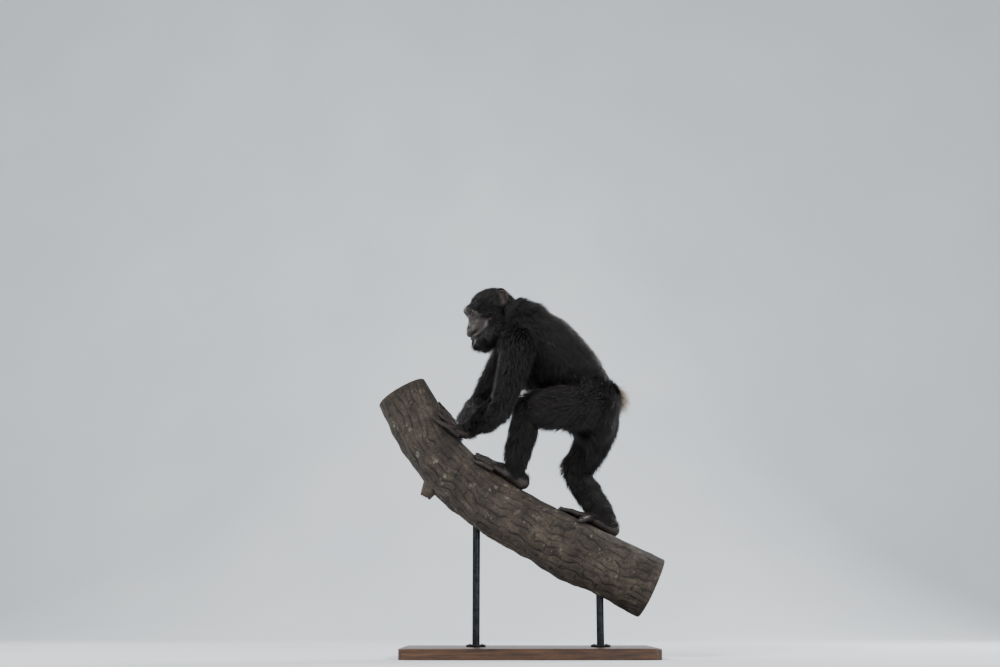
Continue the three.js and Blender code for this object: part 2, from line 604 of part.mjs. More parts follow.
function apart(a, b) {
  const [p, q] = [a.boundingBox(), b.boundingBox()];
  return [0, 1, 2].some((i) => p.min[i] > q.max[i] || q.min[i] > p.max[i]);
}

function claim(make, trim = (solid) => solid) {
  let solid = trim(make(0));
  for (const other of taken) if (!apart(solid, other)) solid = solid.subtract(other);
  taken.push(make(GAP));
  return largest(solid);
}

const dressed = (limb, distance, sizes, locks) => (grow) =>
  tube(limb, (p) => distance(p) - 8, sizes, grow);

// The coat of each limb
const COATS = {
  neck: { rows: 3, around: 9, from: 0.3, to: 1, length: 84, width: 46, seed: 21 },
  trunk: { rows: 7, around: 12, from: 0.1, to: 0.97, length: 112, width: 56, droop: 0.12, seed: 22 },
  upperArm: { rows: 4, around: 7, from: 0.12, to: 0.94, length: 82, width: 40, droop: 0.1, seed: 23 },
  forearm: { rows: 4, around: 6, from: 0.1, to: 0.9, length: 66, width: 31, toward: -1, droop: 0.25, seed: 24 },
  thigh: { rows: 4, around: 8, from: 0.16, to: 0.94, length: 96, width: 50, droop: 0.2, seed: 25 },
  shank: { rows: 4, around: 7, from: 0.08, to: 0.86, length: 72, width: 37, droop: 0.1, seed: 26 },
};

const BLACK_HAIR = { color: "#141210", roughness: 0.62 };
const BARE_SKIN = { color: "#3b2a22", roughness: 0.7 };
const finishes = {
  hair: BLACK_HAIR,
  skin: BARE_SKIN,
  eye: { color: "#2a1408", roughness: 0.15 },
  bark: { color: "#4a3d33", roughness: 0.95 },
  oak: { color: "#4d3523", roughness: 0.45 },
  steel: { color: "#2b2b2c", roughness: 0.4, metalness: 0.9 },
};

const model = new THREE.Group();
model.name = "chimpanzee_on_bough";

// Adds a piece as a mesh whose own origin is its joint or middle
function add(name, finish, place, solid) {
  const { numProp, vertProperties, triVerts } = solid.getMesh();
  const points = new Float32Array((vertProperties.length / numProp) * 3);
  for (let i = 0; i < points.length / 3; i++) points.set(vertProperties.subarray(i * numProp, i * numProp + 3), i * 3);
  const shape = new THREE.BufferGeometry().setAttribute("position", new THREE.BufferAttribute(points, 3));
  shape.setIndex(new THREE.BufferAttribute(triVerts, 1)).translate(-place[0], -place[1], -place[2]);
  const mesh = new THREE.Mesh(shape, new THREE.MeshStandardMaterial({ ...finishes[finish], flatShading: true }));
  mesh.name = name;
  mesh.position.set(...place);
  model.add(mesh);
}

add("stand_base", "oak", [BASE.middle, 0, 0], claim(standBase));
add("bough", "bark", [0, 0, 430], claim(bough));
add("stand_rod_front", "steel", [ROD.front, 0, BASE.height], claim(() => standRod(ROD.front)));
add("stand_rod_rear", "steel", [ROD.rear, 0, BASE.height], claim(() => standRod(ROD.rear)));

for (const side of SIDES) {
  const middle = eyeMiddle(side === "left" ? 1 : -1);
  add(`eye_${side}`, "eye", middle.toArray(), claim((grow) => ball(middle, EYE.radius + grow)));
}

const headLocks = headCoat();
function headSolid(grow) {
  return headCore(grow);
}
function headCuts(solid) {
  const nostrils = [-1, 1].map((sign) =>
    ball(fromHead(NOSTRIL.forward, sign * NOSTRIL.apart, NOSTRIL.up), NOSTRIL.radius, 1.6));
  return [lidSlit(-1), lidSlit(1), mouthLine(), ...nostrils].reduce((rest, cut) => rest.subtract(cut), solid);
}
add("head", "hair", HEAD_MIDDLE.toArray(), claim(headSolid, headCuts));
for (const side of SIDES) {
  const sign = side === "left" ? 1 : -1;
  const root = fromHead(EAR.forward, sign * EAR.out, EAR.up);
  add(`ear_${side}`, "skin", root.toArray(), claim((grow) => ear(sign, grow)));
}

const coatOf = (limb, plan, shift = 0) => coat(limb, { ...plan, seed: plan.seed + shift });
add("neck", "hair", [-82, 0, 1177],
  claim(dressed(neck, skinDistance, { rings: 5, sides: 16, slack: 1.2 }, coatOf(neck, COATS.neck))));
add("torso", "hair", [110, 0, 1032],
  claim(dressed(trunk, skinDistance, { rings: 12, sides: 18, slack: 1.1 }, coatOf(trunk, COATS.trunk))));

const joints = { upperArm: SHOULDER, thigh: HIP, forearm: ELBOW, shank: KNEE };
const limbs = { upperArm, thigh, forearm, shank };
const sizes = { rings: 7, sides: 12, slack: 1.5 };
for (const kind of ["upperArm", "thigh", "forearm", "shank"])
  for (const side of SIDES) {
    const limb = limbs[kind][side];
    const locks = coatOf(limb, COATS[kind], side === "left" ? 0 : 40);
    const name = kind === "upperArm" ? "upper_arm" : kind;
    add(`${name}_${side}`, "hair", joints[kind][side], claim(dressed(limb, skinDistance, sizes, locks)));
  }

for (const side of SIDES) {
  add(`hand_${side}`, "skin", WRIST[side], claim((grow) => hand(side, grow)));
  add(`foot_${side}`, "skin", ANKLE[side], claim((grow) => foot(side, grow)));
}

export default model;
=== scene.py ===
import copy
import math

import bpy
import numpy as np
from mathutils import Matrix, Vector


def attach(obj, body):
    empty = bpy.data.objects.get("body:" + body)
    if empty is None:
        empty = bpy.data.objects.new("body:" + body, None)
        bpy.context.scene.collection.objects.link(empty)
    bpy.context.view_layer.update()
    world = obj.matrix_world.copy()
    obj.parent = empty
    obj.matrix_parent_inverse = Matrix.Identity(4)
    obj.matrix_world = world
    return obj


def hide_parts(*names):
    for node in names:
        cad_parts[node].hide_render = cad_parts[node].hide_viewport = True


# A life-size museum model of an adolescent chimpanzee that walks up a sloping bough on its hands and feet.
# One skin covers the whole animal, and the coat is closed tapered tufts set on it.
# Forms are worked out in millimetres, as their sizes are, and become metres when a mesh is made.
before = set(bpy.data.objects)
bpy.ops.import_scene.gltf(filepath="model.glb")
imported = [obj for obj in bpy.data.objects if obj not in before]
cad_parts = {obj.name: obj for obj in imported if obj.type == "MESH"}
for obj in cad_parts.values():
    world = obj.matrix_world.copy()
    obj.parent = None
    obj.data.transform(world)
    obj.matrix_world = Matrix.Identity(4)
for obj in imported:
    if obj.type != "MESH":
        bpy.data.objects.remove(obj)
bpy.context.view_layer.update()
bpy.ops.object.select_all(action="DESELECT")

MM = 0.001
DOWN = np.array([0.0, 0.0, -1.0])
ACROSS = np.array([0.0, 1.0, 0.0])
SIDES = {"left": 1, "right": -1}

TURN = 2 * math.pi
# More than any distance that matters
FAR = 1e3

# Mesh fineness
BODY_VOXEL = 7.0
PAW_VOXEL = 2.5
EAR_SIDES = 44

# Joint centres
HIP = {"left": [236, -60, 885], "right": [246, 60, 885]}
KNEE = {"left": [-7, -108, 840], "right": [163, 88, 658]}
ANKLE = {"left": [-54, -46, 630], "right": [266, 34, 474]}
SHOULDER = {"left": [-40, -106, 1082], "right": [-55, 104, 1115]}
ELBOW = {"left": [-104, -200, 833], "right": [-176, 200, 925]}
WRIST = {"left": [-214, -26, 780], "right": [-263, 62, 779]}

# The bough: the middle of its wood, and its radius at the top end and at the foot
BOUGH_LINE = [[-461, 917], [-410, 832], [-360, 736], [-299, 655], [-198, 567], [-83, 485], [83, 393],
              [248, 312], [415, 232]]
BOUGH = {"top": 94, "foot": 108, "rough": 0.035}
STUB = {"along": 300, "lean": 0.35, "sides": 48}
# Its rings: distance from the bough's middle as a share of the bough's radius and beyond it, and their radius
STUB_RINGS = [[0.7, 0, 37], [0.9, 0, 33], [1, 4, 28], [1, 14, 25], [1, 24, 22.5], [1, 33, 20], [1, 35, 15],
              [1, 30, 8]]

# The stand
BASE = {"length": 860, "width": 440, "height": 36, "corner": 24, "edge": 3, "middle": -10}
ROD = {"radius": 13, "collar": 34, "collar_height": 8, "gap": 0.3, "front": [-190, 500], "rear": [235, 290]}
SCREW = {"circle": 24, "radius": 4.2, "low": -0.3, "high": 2.1}

# The head's own frame: forward, left and up from the middle between the ear holes
HEAD_MIDDLE = np.array([-139.0, -4.0, 1219.0])
HEAD_TURN = math.radians(20)
HEAD_NOD = math.radians(26)
HEAD_TILT = math.radians(8)
HEAD_HEART = [38, 0, -10]
EYE = {"forward": 75, "apart": 23, "up": 9, "radius": 11.5, "lid": 2.6}
EAR = {"forward": -13, "out": 55, "up": 12, "height": 68, "width": 50, "thick": 5, "flare": 48, "cup": 8}
MOUTH = {"forward": 84, "up": -61}


# Vector arithmetic on rows of points
def unit(v):
    return v / np.maximum(np.linalg.norm(v, axis=-1, keepdims=True), 1e-9)


def lerp(a, b, t):
    return a + (b - a) * t


def smoothstep(low, high, x):
    t = np.clip((x - low) / (high - low), 0, 1)
    return t * t * (3 - 2 * t)


def bump(x, middle, half):
    return np.exp(-(((x - middle) / half) ** 2))


# Distances to round forms, negative inside
def blend(a, b, reach):
    h = np.maximum(reach - np.abs(a - b), 0) / reach
    return np.minimum(a, b) - h * h * reach / 4


def carve(a, b, reach):
    return -blend(-a, b, reach)


def to_ball(p, middle, radii):
    q = p - np.array(middle, float)
    share = np.maximum(np.linalg.norm(q / np.array(radii, float), axis=1), 1e-6)
    return np.linalg.norm(q, axis=1) * (1 - 1 / share)


def to_rod(p, a, b, ra, rb):
    a = np.array(a, float)
    span = np.array(b, float) - a
    t = np.clip((p - a) @ span / (span @ span), 0, 1)
    return np.linalg.norm(p - a - t[:, None] * span, axis=1) - lerp(ra, rb, t)


def smooth_line(points, count):
    """Points on a centripetal Catmull-Rom line through the given ones."""
    p = np.array(points, float)
    p = np.vstack([2 * p[0] - p[1], p, 2 * p[-1] - p[-2]])
    t = np.linspace(0, len(points) - 1, count)
    i = np.minimum(t.astype(int), len(points) - 2)
    w = (t - i)[:, None]
    a, b, c, d = p[i], p[i + 1], p[i + 2], p[i + 3]

    def gap(u, v):
        return np.maximum(np.sqrt(np.linalg.norm(u - v, axis=1, keepdims=True)), 1e-4)

    ab, bc, cd = gap(a, b), gap(b, c), gap(c, d)
    start = ((b - a) / ab - (c - a) / (ab + bc) + (c - b) / bc) * bc
    end = ((c - b) / bc - (d - b) / (bc + cd) + (d - c) / cd) * bc
    cubic = 2 * b - 2 * c + start + end
    square = -3 * b + 3 * c - 2 * start - end
    return b + start * w + square * w**2 + cubic * w**3


class Limb:
    """A smooth row of stations [x, y, z, half width, half depth], less an inset for the coat.

    The width is measured along the side, and a station with one radius is round."""

    margin = 60
    steps = 4

    def __init__(self, stations, inset=0, side=ACROSS):
        rows = np.array([list(s) + [s[3]] if len(s) == 4 else s for s in stations], float)
        rows[:, 3:] -= np.broadcast_to(np.array(inset, float).reshape(-1, 1), (len(rows), 2))
        count = (len(rows) - 1) * self.steps + 1
        self.middle = smooth_line(rows[:, :3], count)
        self.width, self.depth = smooth_line(rows[:, 3:], count).T
        self.side = unit(np.array(side, float))
        self.low = self.middle.min(0) - self.width.max() - self.margin
        self.high = self.middle.max(0) + self.width.max() + self.margin

    def nearest(self, p):
        """The distance of each point, and its place along the limb from 0 to 1."""
        least = np.full(len(p), FAR)
        place = np.zeros(len(p))
        inside = np.all((p > self.low) & (p < self.high), axis=1)
        q = p[inside]
        best = np.full(len(q), FAR)
        share = np.zeros(len(q))
        for i in range(1, len(self.middle)):
            a, b = self.middle[i - 1], self.middle[i]
            span = b - a
            t = np.clip((q - a) @ span / (span @ span), 0, 1)
            off = q - a - t[:, None] * span
            reach = np.linalg.norm(off, axis=1)
            lateral = off @ self.side
            rest = np.sqrt(np.maximum(reach**2 - lateral**2, 0))
            width = lerp(self.width[i - 1], self.width[i], t)
            depth = lerp(self.depth[i - 1], self.depth[i], t)
            d = reach * (1 - 1 / np.maximum(np.hypot(lateral / width, rest / depth), 1e-6))
            closer = d < best
            best = np.where(closer, d, best)
            share = np.where(closer, (i - 1 + t) / (len(self.middle) - 1), share)
        least[inside] = best
        place[inside] = share
        return least, place

    def distance(self, p):
        return self.nearest(p)[0]

    def place(self, p):
        return self.nearest(p)[1]

    def end(self, share):
        """The last share of the limb alone, which a hand or foot overlaps."""
        cut = copy.copy(self)
        start = int(len(self.middle) * (1 - share))
        cut.middle, cut.width, cut.depth = self.middle[start:], self.width[start:], self.depth[start:]
        return cut

    def way(self, place):
        """The direction of the limb at each place."""
        i = np.clip((place * (len(self.middle) - 1)).astype(int), 0, len(self.middle) - 2)
        return unit(self.middle[i + 1] - self.middle[i])

    def turn(self, p, place):
        """How far round the limb each point is, from 0 to 1."""
        i = np.clip((place * (len(self.middle) - 1)).round().astype(int), 0, len(self.middle) - 1)
        way = self.way(place)
        u = unit(self.side - (way @ self.side)[:, None] * way)
        v = np.cross(way, u)
        off = p - self.middle[i]
        return (np.arctan2((off * v).sum(1), (off * u).sum(1)) / TURN) % 1


# The body under the coat
LIMBS = {
    "trunk": Limb([[-48, 0, 1160, 92, 84], [-20, 0, 1138, 120, 98], [50, 0, 1088, 126, 102],
                   [110, 0, 1032, 121, 100], [160, 0, 975, 111, 94], [196, 0, 921, 106, 90],
                   [222, 0, 868, 106, 85], [236, 0, 822, 88, 66]], 13),
    "neck": Limb([[-112, -2, 1190, 52, 56], [-82, 0, 1177, 68, 68], [-40, 0, 1155, 92, 82]], [7, 12, 13]),
    "upper_arm_left": Limb([[*SHOULDER["left"], 58], [-52, -133, 1022, 52], [-68, -160, 955, 45],
                            [-86, -180, 892, 39], [*ELBOW["left"], 36]], [12, 12, 11, 10, 10]),
    "upper_arm_right": Limb([[*SHOULDER["right"], 58], [-85, 128, 1068, 52], [-116, 152, 1020, 45],
                             [-148, 178, 970, 40], [*ELBOW["right"], 37]], [12, 12, 11, 10, 10]),
    "forearm_left": Limb([[*ELBOW["left"], 36], [-128, -166, 824, 37], [-158, -118, 808, 34],
                          [-190, -66, 792, 28], [*WRIST["left"], 24]], [10, 9, 8, 5, 2]),
    "forearm_right": Limb([[*ELBOW["right"], 37], [-198, 166, 884, 37], [-224, 124, 842, 33],
                           [-248, 86, 804, 27], [*WRIST["right"], 24]], [10, 9, 8, 5, 2]),
    "thigh_left": Limb([[*HIP["left"], 80], [180, -80, 862, 78], [110, -94, 850, 70], [48, -103, 844, 61],
                        [*KNEE["left"], 50]], 12),
    "thigh_right": Limb([[*HIP["right"], 80], [245, 66, 825, 74], [230, 73, 770, 66], [206, 80, 718, 57],
                         [180, 86, 682, 51], [*KNEE["right"], 46]], 12),
    "shank_left": Limb([[*KNEE["left"], 50], [-21, -96, 788, 50], [-34, -82, 740, 47], [-47, -64, 686, 40],
                        [*ANKLE["left"], 29]], [12, 12, 11, 8, 3]),
    "shank_right": Limb([[*KNEE["right"], 46], [181, 78, 612, 45], [209, 66, 560, 42], [236, 52, 516, 37],
                         [*ANKLE["right"], 30]], [12, 12, 10, 7, 3]),
}
SOFT = {"neck": 40, "head": 22, "upper_arm": 34, "thigh": 24, "joint": 10}


def body_distance(p):
    d = blend(LIMBS["trunk"].distance(p), LIMBS["neck"].distance(p), SOFT["neck"])
    ends = np.full(len(p), FAR)
    for side in SIDES:
        for upper, lower in (("upper_arm", "forearm"), ("thigh", "shank")):
            near = LIMBS[f"{upper}_{side}"].distance(p)
            d = blend(d, near, SOFT[upper])
            ends = np.minimum(ends, blend(near, LIMBS[f"{lower}_{side}"].distance(p), SOFT["joint"]))
    return np.minimum(d, ends)


# The head
ahead = np.array([-math.cos(HEAD_TURN), -math.sin(HEAD_TURN), 0])
FORWARD = ahead * math.cos(HEAD_NOD) + DOWN * math.sin(HEAD_NOD)
risen = ahead * math.sin(HEAD_NOD) - DOWN * math.cos(HEAD_NOD)
level = np.cross(risen, FORWARD)
UP = risen * math.cos(HEAD_TILT) - level * math.sin(HEAD_TILT)
LEFT = level * math.cos(HEAD_TILT) + risen * math.sin(HEAD_TILT)
HEAD_AXES = np.array([FORWARD, LEFT, UP])


def in_head(p):
    """World points as forward, left and up in the head."""
    return (p - HEAD_MIDDLE) @ HEAD_AXES.T


def folded(world):
    """World points in the head's frame, with its right half laid over its left."""
    p = in_head(world)
    p[:, 1] = np.abs(p[:, 1])
    return p


def from_head(places):
    return np.asarray(places, float) @ HEAD_AXES + HEAD_MIDDLE


def head_way(f, l, u):
    return np.array([f, l, u], float) @ HEAD_AXES


# The forms of the left half of the head: how each meets the ones before it, how softly, and its measures
SKULL = [
    (blend, 20, to_ball, [-36, 0, -6], [46, 50, 44]),  # back of the head
    (blend, 16, to_ball, [60, 0, -14], [32, 42, 42]),  # middle of the face
    (blend, 14, to_rod, [66, 38, -8], [20, 55, -8], 12, 11),  # cheekbone
    (blend, 20, to_rod, [22, 42, -54], [8, 48, -10], 22, 18),  # branch of the jaw
    (blend, 20, to_rod, [84, 18, -74], [22, 42, -54], 17, 22),  # jaw
    (blend, 24, to_ball, [10, 0, -46], [58, 42, 34]),  # throat
    (blend, 14, to_ball, [84, 0, -44], [40, 37, 32]),  # muzzle
    (blend, 8, to_rod, [85, 0, 29], [84, 14, 30], 9.5, 9.5),  # inner brow
    (blend, 8, to_rod, [84, 14, 30], [69, 42, 25], 9.5, 8),  # outer brow
    (carve, 9, to_ball, [98, 25, 7], [15, 15, 12]),  # eye socket
    (blend, 9, to_rod, [82, 0, 8], [98, 0, -20], 7, 8),  # bridge of the nose
    (blend, 6, to_ball, [104, 0, -26], [8, 7, 6]),  # tip of the nose
    (blend, 5, to_ball, [102, 9, -27], [8, 7, 6.5]),  # wing of the nose
    (blend, 7, to_ball, [108, 0, -51], [19, 33, 14]),  # upper lip
    (blend, 6, to_ball, [104, 0, -71], [19, 28, 12]),  # lower lip
    (blend, 12, to_ball, [90, 0, -83], [20, 24, 14]),  # chin
]


def skull_distance(p):
    d = to_ball(p, [2, 0, 20], [73, 57, 46])
    for meet, soft, form, *measures in SKULL:
        d = meet(d, form(p, *measures), soft)
    return d


def face_distance(p):
    """The head with lids, nostrils, the line of the mouth and folds."""
    f, l, u = p.T
    d = skull_distance(p)
    lids = EYE["radius"] + EYE["lid"]
    eye = [EYE["forward"], EYE["apart"], EYE["up"]]
    d = blend(d, to_ball(p, eye, [lids, lids, lids]), 5)
    across, rise = l - eye[1], u - eye[2]
    slit = np.abs(rise - 0.06 * across) - 5.4 * np.maximum(1 - (across / 12.5) ** 2, 0) + 0.4
    slit = np.maximum(slit, eye[0] + 3 - f)
    d = carve(d, slit, 1.6)
    d = carve(d, to_rod(p, [112, 5.5, -32], [103, 11, -27], 2.3, 2.8), 1.6)
    around = np.degrees(np.arctan2(l, f - MOUTH["forward"]))
    line = u - MOUTH["up"] - 0.2 * (around / 15) ** 2
    front = smoothstep(60, 74, f)
    d = d + 2.4 * bump(line, 0, 1.5) * front * smoothstep(86, 66, around)
    ring = np.hypot(across * 0.85, rise)
    under = smoothstep(15.5, 18, ring) * smoothstep(34, 26, ring) * smoothstep(3, -6, rise) * front
    bridge = bump(u, -4, 12) * smoothstep(12, 4, l) * front
    upper_lip = bump(u, -49, 7) * smoothstep(92, 104, f)
    lower_lip = bump(u, -74, 6) * smoothstep(90, 102, f)
    brow = bump(u, 44, 9) * smoothstep(40, 60, f)
    folds = [(0.55, under, ring * TURN / 4.4),
             (0.4, bridge, u * TURN / 4.6),
             (0.3, upper_lip, around * TURN / 9),
             (0.3, lower_lip, around * TURN / 11),
             (0.4, brow, u * TURN / 5.5 + 0.02 * l * l)]
    for depth, where, phase in folds:
        d = d + depth * where * np.cos(phase)
    return d


def head_distance(world):
    """The head with its share of the neck, which dives into the body's neck."""
    p = folded(world)
    back = smoothstep(-58, -84, p[:, 0] + 0.45 * p[:, 2])
    d = blend(face_distance(p), LIMBS["neck"].distance(world) + 1.0 + 4 * back, SOFT["head"])
    return np.maximum(d, np.linalg.norm(world - HEAD_MIDDLE, axis=1) - 140)


def slope(p, distance, e=0.4):
    """The outward direction at each point."""
    ways = np.array([[1, 1, 1], [1, -1, -1], [-1, 1, -1], [-1, -1, 1]], float)
    return unit(sum(way * distance(p + way * e)[:, None] for way in ways))


def settle(p, distance, rounds=4, most=6.0):
    """Points moved onto the surface."""
    for _ in range(rounds):
        step = np.clip(distance(p), -most, most)
        p = p - slope(p, distance) * step[:, None]
    return p


# Meshes
def points_of(piece):
    co = np.zeros(len(piece.data.vertices) * 3, np.float32)
    piece.data.vertices.foreach_get("co", co)
    return co.reshape(-1, 3).astype(float) / MM


def set_points(piece, points):
    piece.data.vertices.foreach_set("co", (points * MM).astype(np.float32).ravel())
    piece.data.update()


def add_object(name, data):
    made = bpy.data.objects.new(name, data)
    bpy.context.scene.collection.objects.link(made)
    return made


def add_mesh(name, points, corners, starts):
    """A piece from its points, the corners of all its faces in one row, and where each face starts in it."""
    mesh = bpy.data.meshes.new(name)
    mesh.vertices.add(len(points))
    mesh.vertices.foreach_set("co", (points * MM).astype(np.float32).ravel())
    mesh.loops.add(len(corners))
    mesh.loops.foreach_set("vertex_index", corners.astype(np.int32))
    mesh.polygons.add(len(starts))
    mesh.polygons.foreach_set("loop_start", starts.astype(np.int32))
    mesh.update(calc_edges=True)
    return add_object(name, mesh)


def store(piece, name, values):
    """A value for each point of a piece, which its material reads."""
    layer = piece.data.attributes.new(name, "FLOAT", "POINT")
    layer.data.foreach_set("value", values.astype(np.float32))


def only(piece, *others):
    bpy.ops.object.select_all(action="DESELECT")
    for one in (piece, *others):
        one.select_set(True)
    bpy.context.view_layer.objects.active = piece


def join(pieces, name):
    only(*pieces)
    bpy.ops.object.join()
    bpy.context.object.name = name
    bpy.context.object.data.name = name
    return bpy.context.object


def edit(piece, kind, chosen, operation, **settings):
    """One operation of edit mode on the chosen faces or edges."""
    only(piece)
    bpy.ops.object.mode_set(mode="EDIT")
    bpy.ops.mesh.select_mode(type=kind)
    bpy.ops.mesh.select_all(action="DESELECT")
    bpy.ops.object.mode_set(mode="OBJECT")
    parts = piece.data.polygons if kind == "FACE" else piece.data.edges
    parts.foreach_set("select", np.asarray(chosen, bool))
    bpy.ops.object.mode_set(mode="EDIT")
    operation(**settings)
    bpy.ops.object.mode_set(mode="OBJECT")


def modify(piece, kind, **settings):
    """One modifier, applied."""
    only(piece)
    modifier = piece.modifiers.new(kind.lower(), kind)
    for key, value in settings.items():
        setattr(modifier, key, value)
    bpy.ops.object.modifier_apply(modifier=modifier.name)
    return piece


def smooth(piece):
    piece.data.shade_smooth()
    return piece


def balls_along(limbs, name):
    """Balls along each limb, close enough to fuse."""
    balls = []
    for limb in limbs:
        last = None
        for middle, width, depth in zip(limb.middle, limb.width, limb.depth):
            radius = min(width, depth)
            if last is not None and np.linalg.norm(middle - last) < radius * 0.35:
                continue
            last = middle
            bpy.ops.mesh.primitive_ico_sphere_add(subdivisions=3, radius=radius * MM, location=middle * MM)
            bpy.context.object.scale = 1 + (width / radius - 1) * np.abs(limb.side)
            balls.append(bpy.context.object)
    made = join(balls, name)
    bpy.ops.object.transform_apply(location=True, rotation=True, scale=True)
    return made


def fused(limbs, distance, voxel, name, rounds=4):
    """Balls fused by a voxel remesh, with each point then moved onto the surface."""
    piece = balls_along(limbs, name)
    modify(piece, "REMESH", mode="VOXEL", voxel_size=voxel * MM)
    modify(piece, "SMOOTH", factor=0.5, iterations=3)
    set_points(piece, settle(points_of(piece), distance, rounds))
    modify(piece, "SMOOTH", factor=0.3, iterations=2)
    set_points(piece, settle(points_of(piece), distance, 2))
    return piece


def loft(name, rings, start, end):
    """A closed piece from rings of points, with one point at each end."""
    sides = len(rings[0])
    last = 1 + (len(rings) - 1) * sides
    faces = []
    for i in range(sides):
        j = (i + 1) % sides
        faces.append([0, 1 + j, 1 + i])
        for a in range(1, last, sides):
            faces.append([a + i, a + j, a + sides + j, a + sides + i])
        faces.append([last + sides, last + i, last + j])
    starts = np.cumsum([0, *map(len, faces)])[:-1]
    piece = add_mesh(name, np.vstack([[start], *rings, [end]]), np.concatenate(faces), starts)
    edit(piece, "FACE", np.ones(len(faces), bool), bpy.ops.mesh.normals_make_consistent, inside=False)
    return piece


# The bough's own measures: along it, turned round it from the top in degrees, and out from it
bough_line = smooth_line([[x, 0, z] for x, z in BOUGH_LINE], 1601)
bough_steps = np.concatenate([[0], np.cumsum(np.linalg.norm(np.diff(bough_line, axis=0), axis=1))])
BOUGH_LENGTH = bough_steps[-1]


def bough_frame(along):
    along = np.atleast_1d(np.asarray(along, float))
    middle = np.stack([np.interp(along, bough_steps, bough_line[:, k]) for k in range(3)], 1)
    way = unit(np.gradient(bough_line, axis=0))
    way = unit(np.stack([np.interp(along, bough_steps, way[:, k]) for k in range(3)], 1))
    up = np.stack([-way[:, 2], np.zeros(len(way)), way[:, 0]], 1)
    return middle, way, up


def bough_radius(along):
    return lerp(BOUGH["top"], BOUGH["foot"], np.asarray(along) / BOUGH_LENGTH)


def on_bough(along, degrees, out):
    middle, _, up = bough_frame(along)
    turn = math.radians(degrees)
    return middle[0] + (up[0] * math.cos(turn) + ACROSS * math.sin(turn)) * (bough_radius(along) + out)


def round_bough(degrees, along):
    turn = math.radians(degrees)
    return ACROSS * math.cos(turn) - bough_frame(along)[2][0] * math.sin(turn)


# Hands and feet on the bough
HAND = {
    "left": {"palm": [[262, -13, 34, 31, 23], [228, -19, 19, 38, 15]],
             "knuckles": [[225, -3], [224, -14], [226, -25], [232, -36]],
             "tips": [[140, -10], [135, -26], [142, -42], [158, -56]],
             "thumb": [[272, -1, 25], [252, 5, 17], [234, 9, 11], [224, 11, 8]]},
    "right": {"palm": [[226, 29, 28, 31, 22], [192, 32, 18, 38, 15]],
              "knuckles": [[188, 16], [187, 27], [189, 38], [195, 49]],
              "tips": [[98, 20], [92, 34], [100, 50], [118, 63]],
              "thumb": [[236, 14, 22], [216, 8, 16], [200, 6, 11], [190, 5, 8]]},
}
FOOT = {"left": {"heel": 571, "middle": -17}, "right": {"heel": 940, "middle": 14}}
# The sole, from the heel: along, out, half width and half depth
SOLE = [[0, 24, 25, 25], [-38, 29, 27, 28], [-71, 26, 30, 24], [-101, 20, 34, 18], [-131, 15, 37, 14]]
# The big toe, from the heel: along, turned inwards in degrees, out and radius
BIG_TOE = [[-70, -10, 25, 14], [-84, 6, 24, 14], [-102, 26, 16, 12], [-114, 38, 11, 10.5], [-122, 46, 8, 8]]
TOES = {"root": -136, "tips": [-197, -200, -195, -184], "first": -12, "spread": 11.4}
THUMB_RADII = [11, 10.5, 9.5, 7.5]
# Bent digits: places from knuckle to tip, their height over the bough and their radius
BENDS = [-0.26, 0.08, 0.42, 0.78, 1]
FINGER = [[15, 9], [17, 10], [19, 9.4], [11, 8.6], [7.5, 6.4]]
TOE = [[17, 9], [16, 10], [15, 8.8], [9, 8.2], [7, 6.4]]


def digit(rows):
    """A digit from rows of along, degrees, out and radius on the bough."""
    return Limb([[*on_bough(*place), radius] for *place, radius in rows], 0, [0.3, 0.9, 0.2])


def bent_digit(knuckle, tip, joints):
    return digit([[lerp(knuckle[0], tip[0], s), lerp(knuckle[1], tip[1], s), *joint]
                  for s, joint in zip(BENDS, joints)])


def hand_parts(side):
    """The palm, and the four fingers and the thumb of a hand."""
    plan = HAND[side]
    rows = [[*on_bough(along, degrees, out), w, d] for along, degrees, out, w, d in plan["palm"]]
    along, degrees = plan["palm"][1][:2]
    palm = Limb([[*WRIST[side], 22, 21], *rows], 0, round_bough(degrees, along))
    fingers = [bent_digit(knuckle, tip, FINGER) for knuckle, tip in zip(plan["knuckles"], plan["tips"])]
    return palm, [*fingers, digit([[*place, radius] for place, radius in zip(plan["thumb"], THUMB_RADII)])]


def foot_parts(side):
    """The sole with the heel, and the four toes and the thumb-like big toe."""
    heel, middle = FOOT[side]["heel"], FOOT[side]["middle"]
    outer = math.copysign(1, middle)
    rows = [[*on_bough(heel + shift, middle, out), w, d] for shift, out, w, d in SOLE]
    sole = Limb(rows, 0, round_bough(middle, heel - 90))
    toes = []
    for i, reach in enumerate(TOES["tips"]):
        turn = middle + outer * (TOES["spread"] * i + TOES["first"])
        toes.append(bent_digit([heel + TOES["root"], turn], [heel + reach, turn + outer * (1 + i)], TOE))
    big = digit([[heel + shift, middle - outer * turn, out, radius] for shift, turn, out, radius in BIG_TOE])
    return sole, [*toes, big]


def paw_distance(palm, digits, leg):
    """The distance to a palm or sole with its digits, whose joints bulge and have skin folds across them."""
    def distance(p):
        d = palm.distance(p)
        for one in digits:
            near, place = one.nearest(p)
            joints = bump(place, 0.5, 0.07) + bump(place, 0.78, 0.05) + bump(place, 0.22, 0.06)
            creases = 0.28 * joints * np.cos(place * TURN / 0.035)
            d = blend(d, near - 0.8 * joints + creases, 6)
        return blend(d, leg.distance(p) + 2.0, 8)
    return distance


LEG_OF = {"hand": "forearm", "foot": "shank"}
PAWS = {("hand", side): hand_parts(side) for side in SIDES}
PAWS |= {("foot", side): foot_parts(side) for side in SIDES}


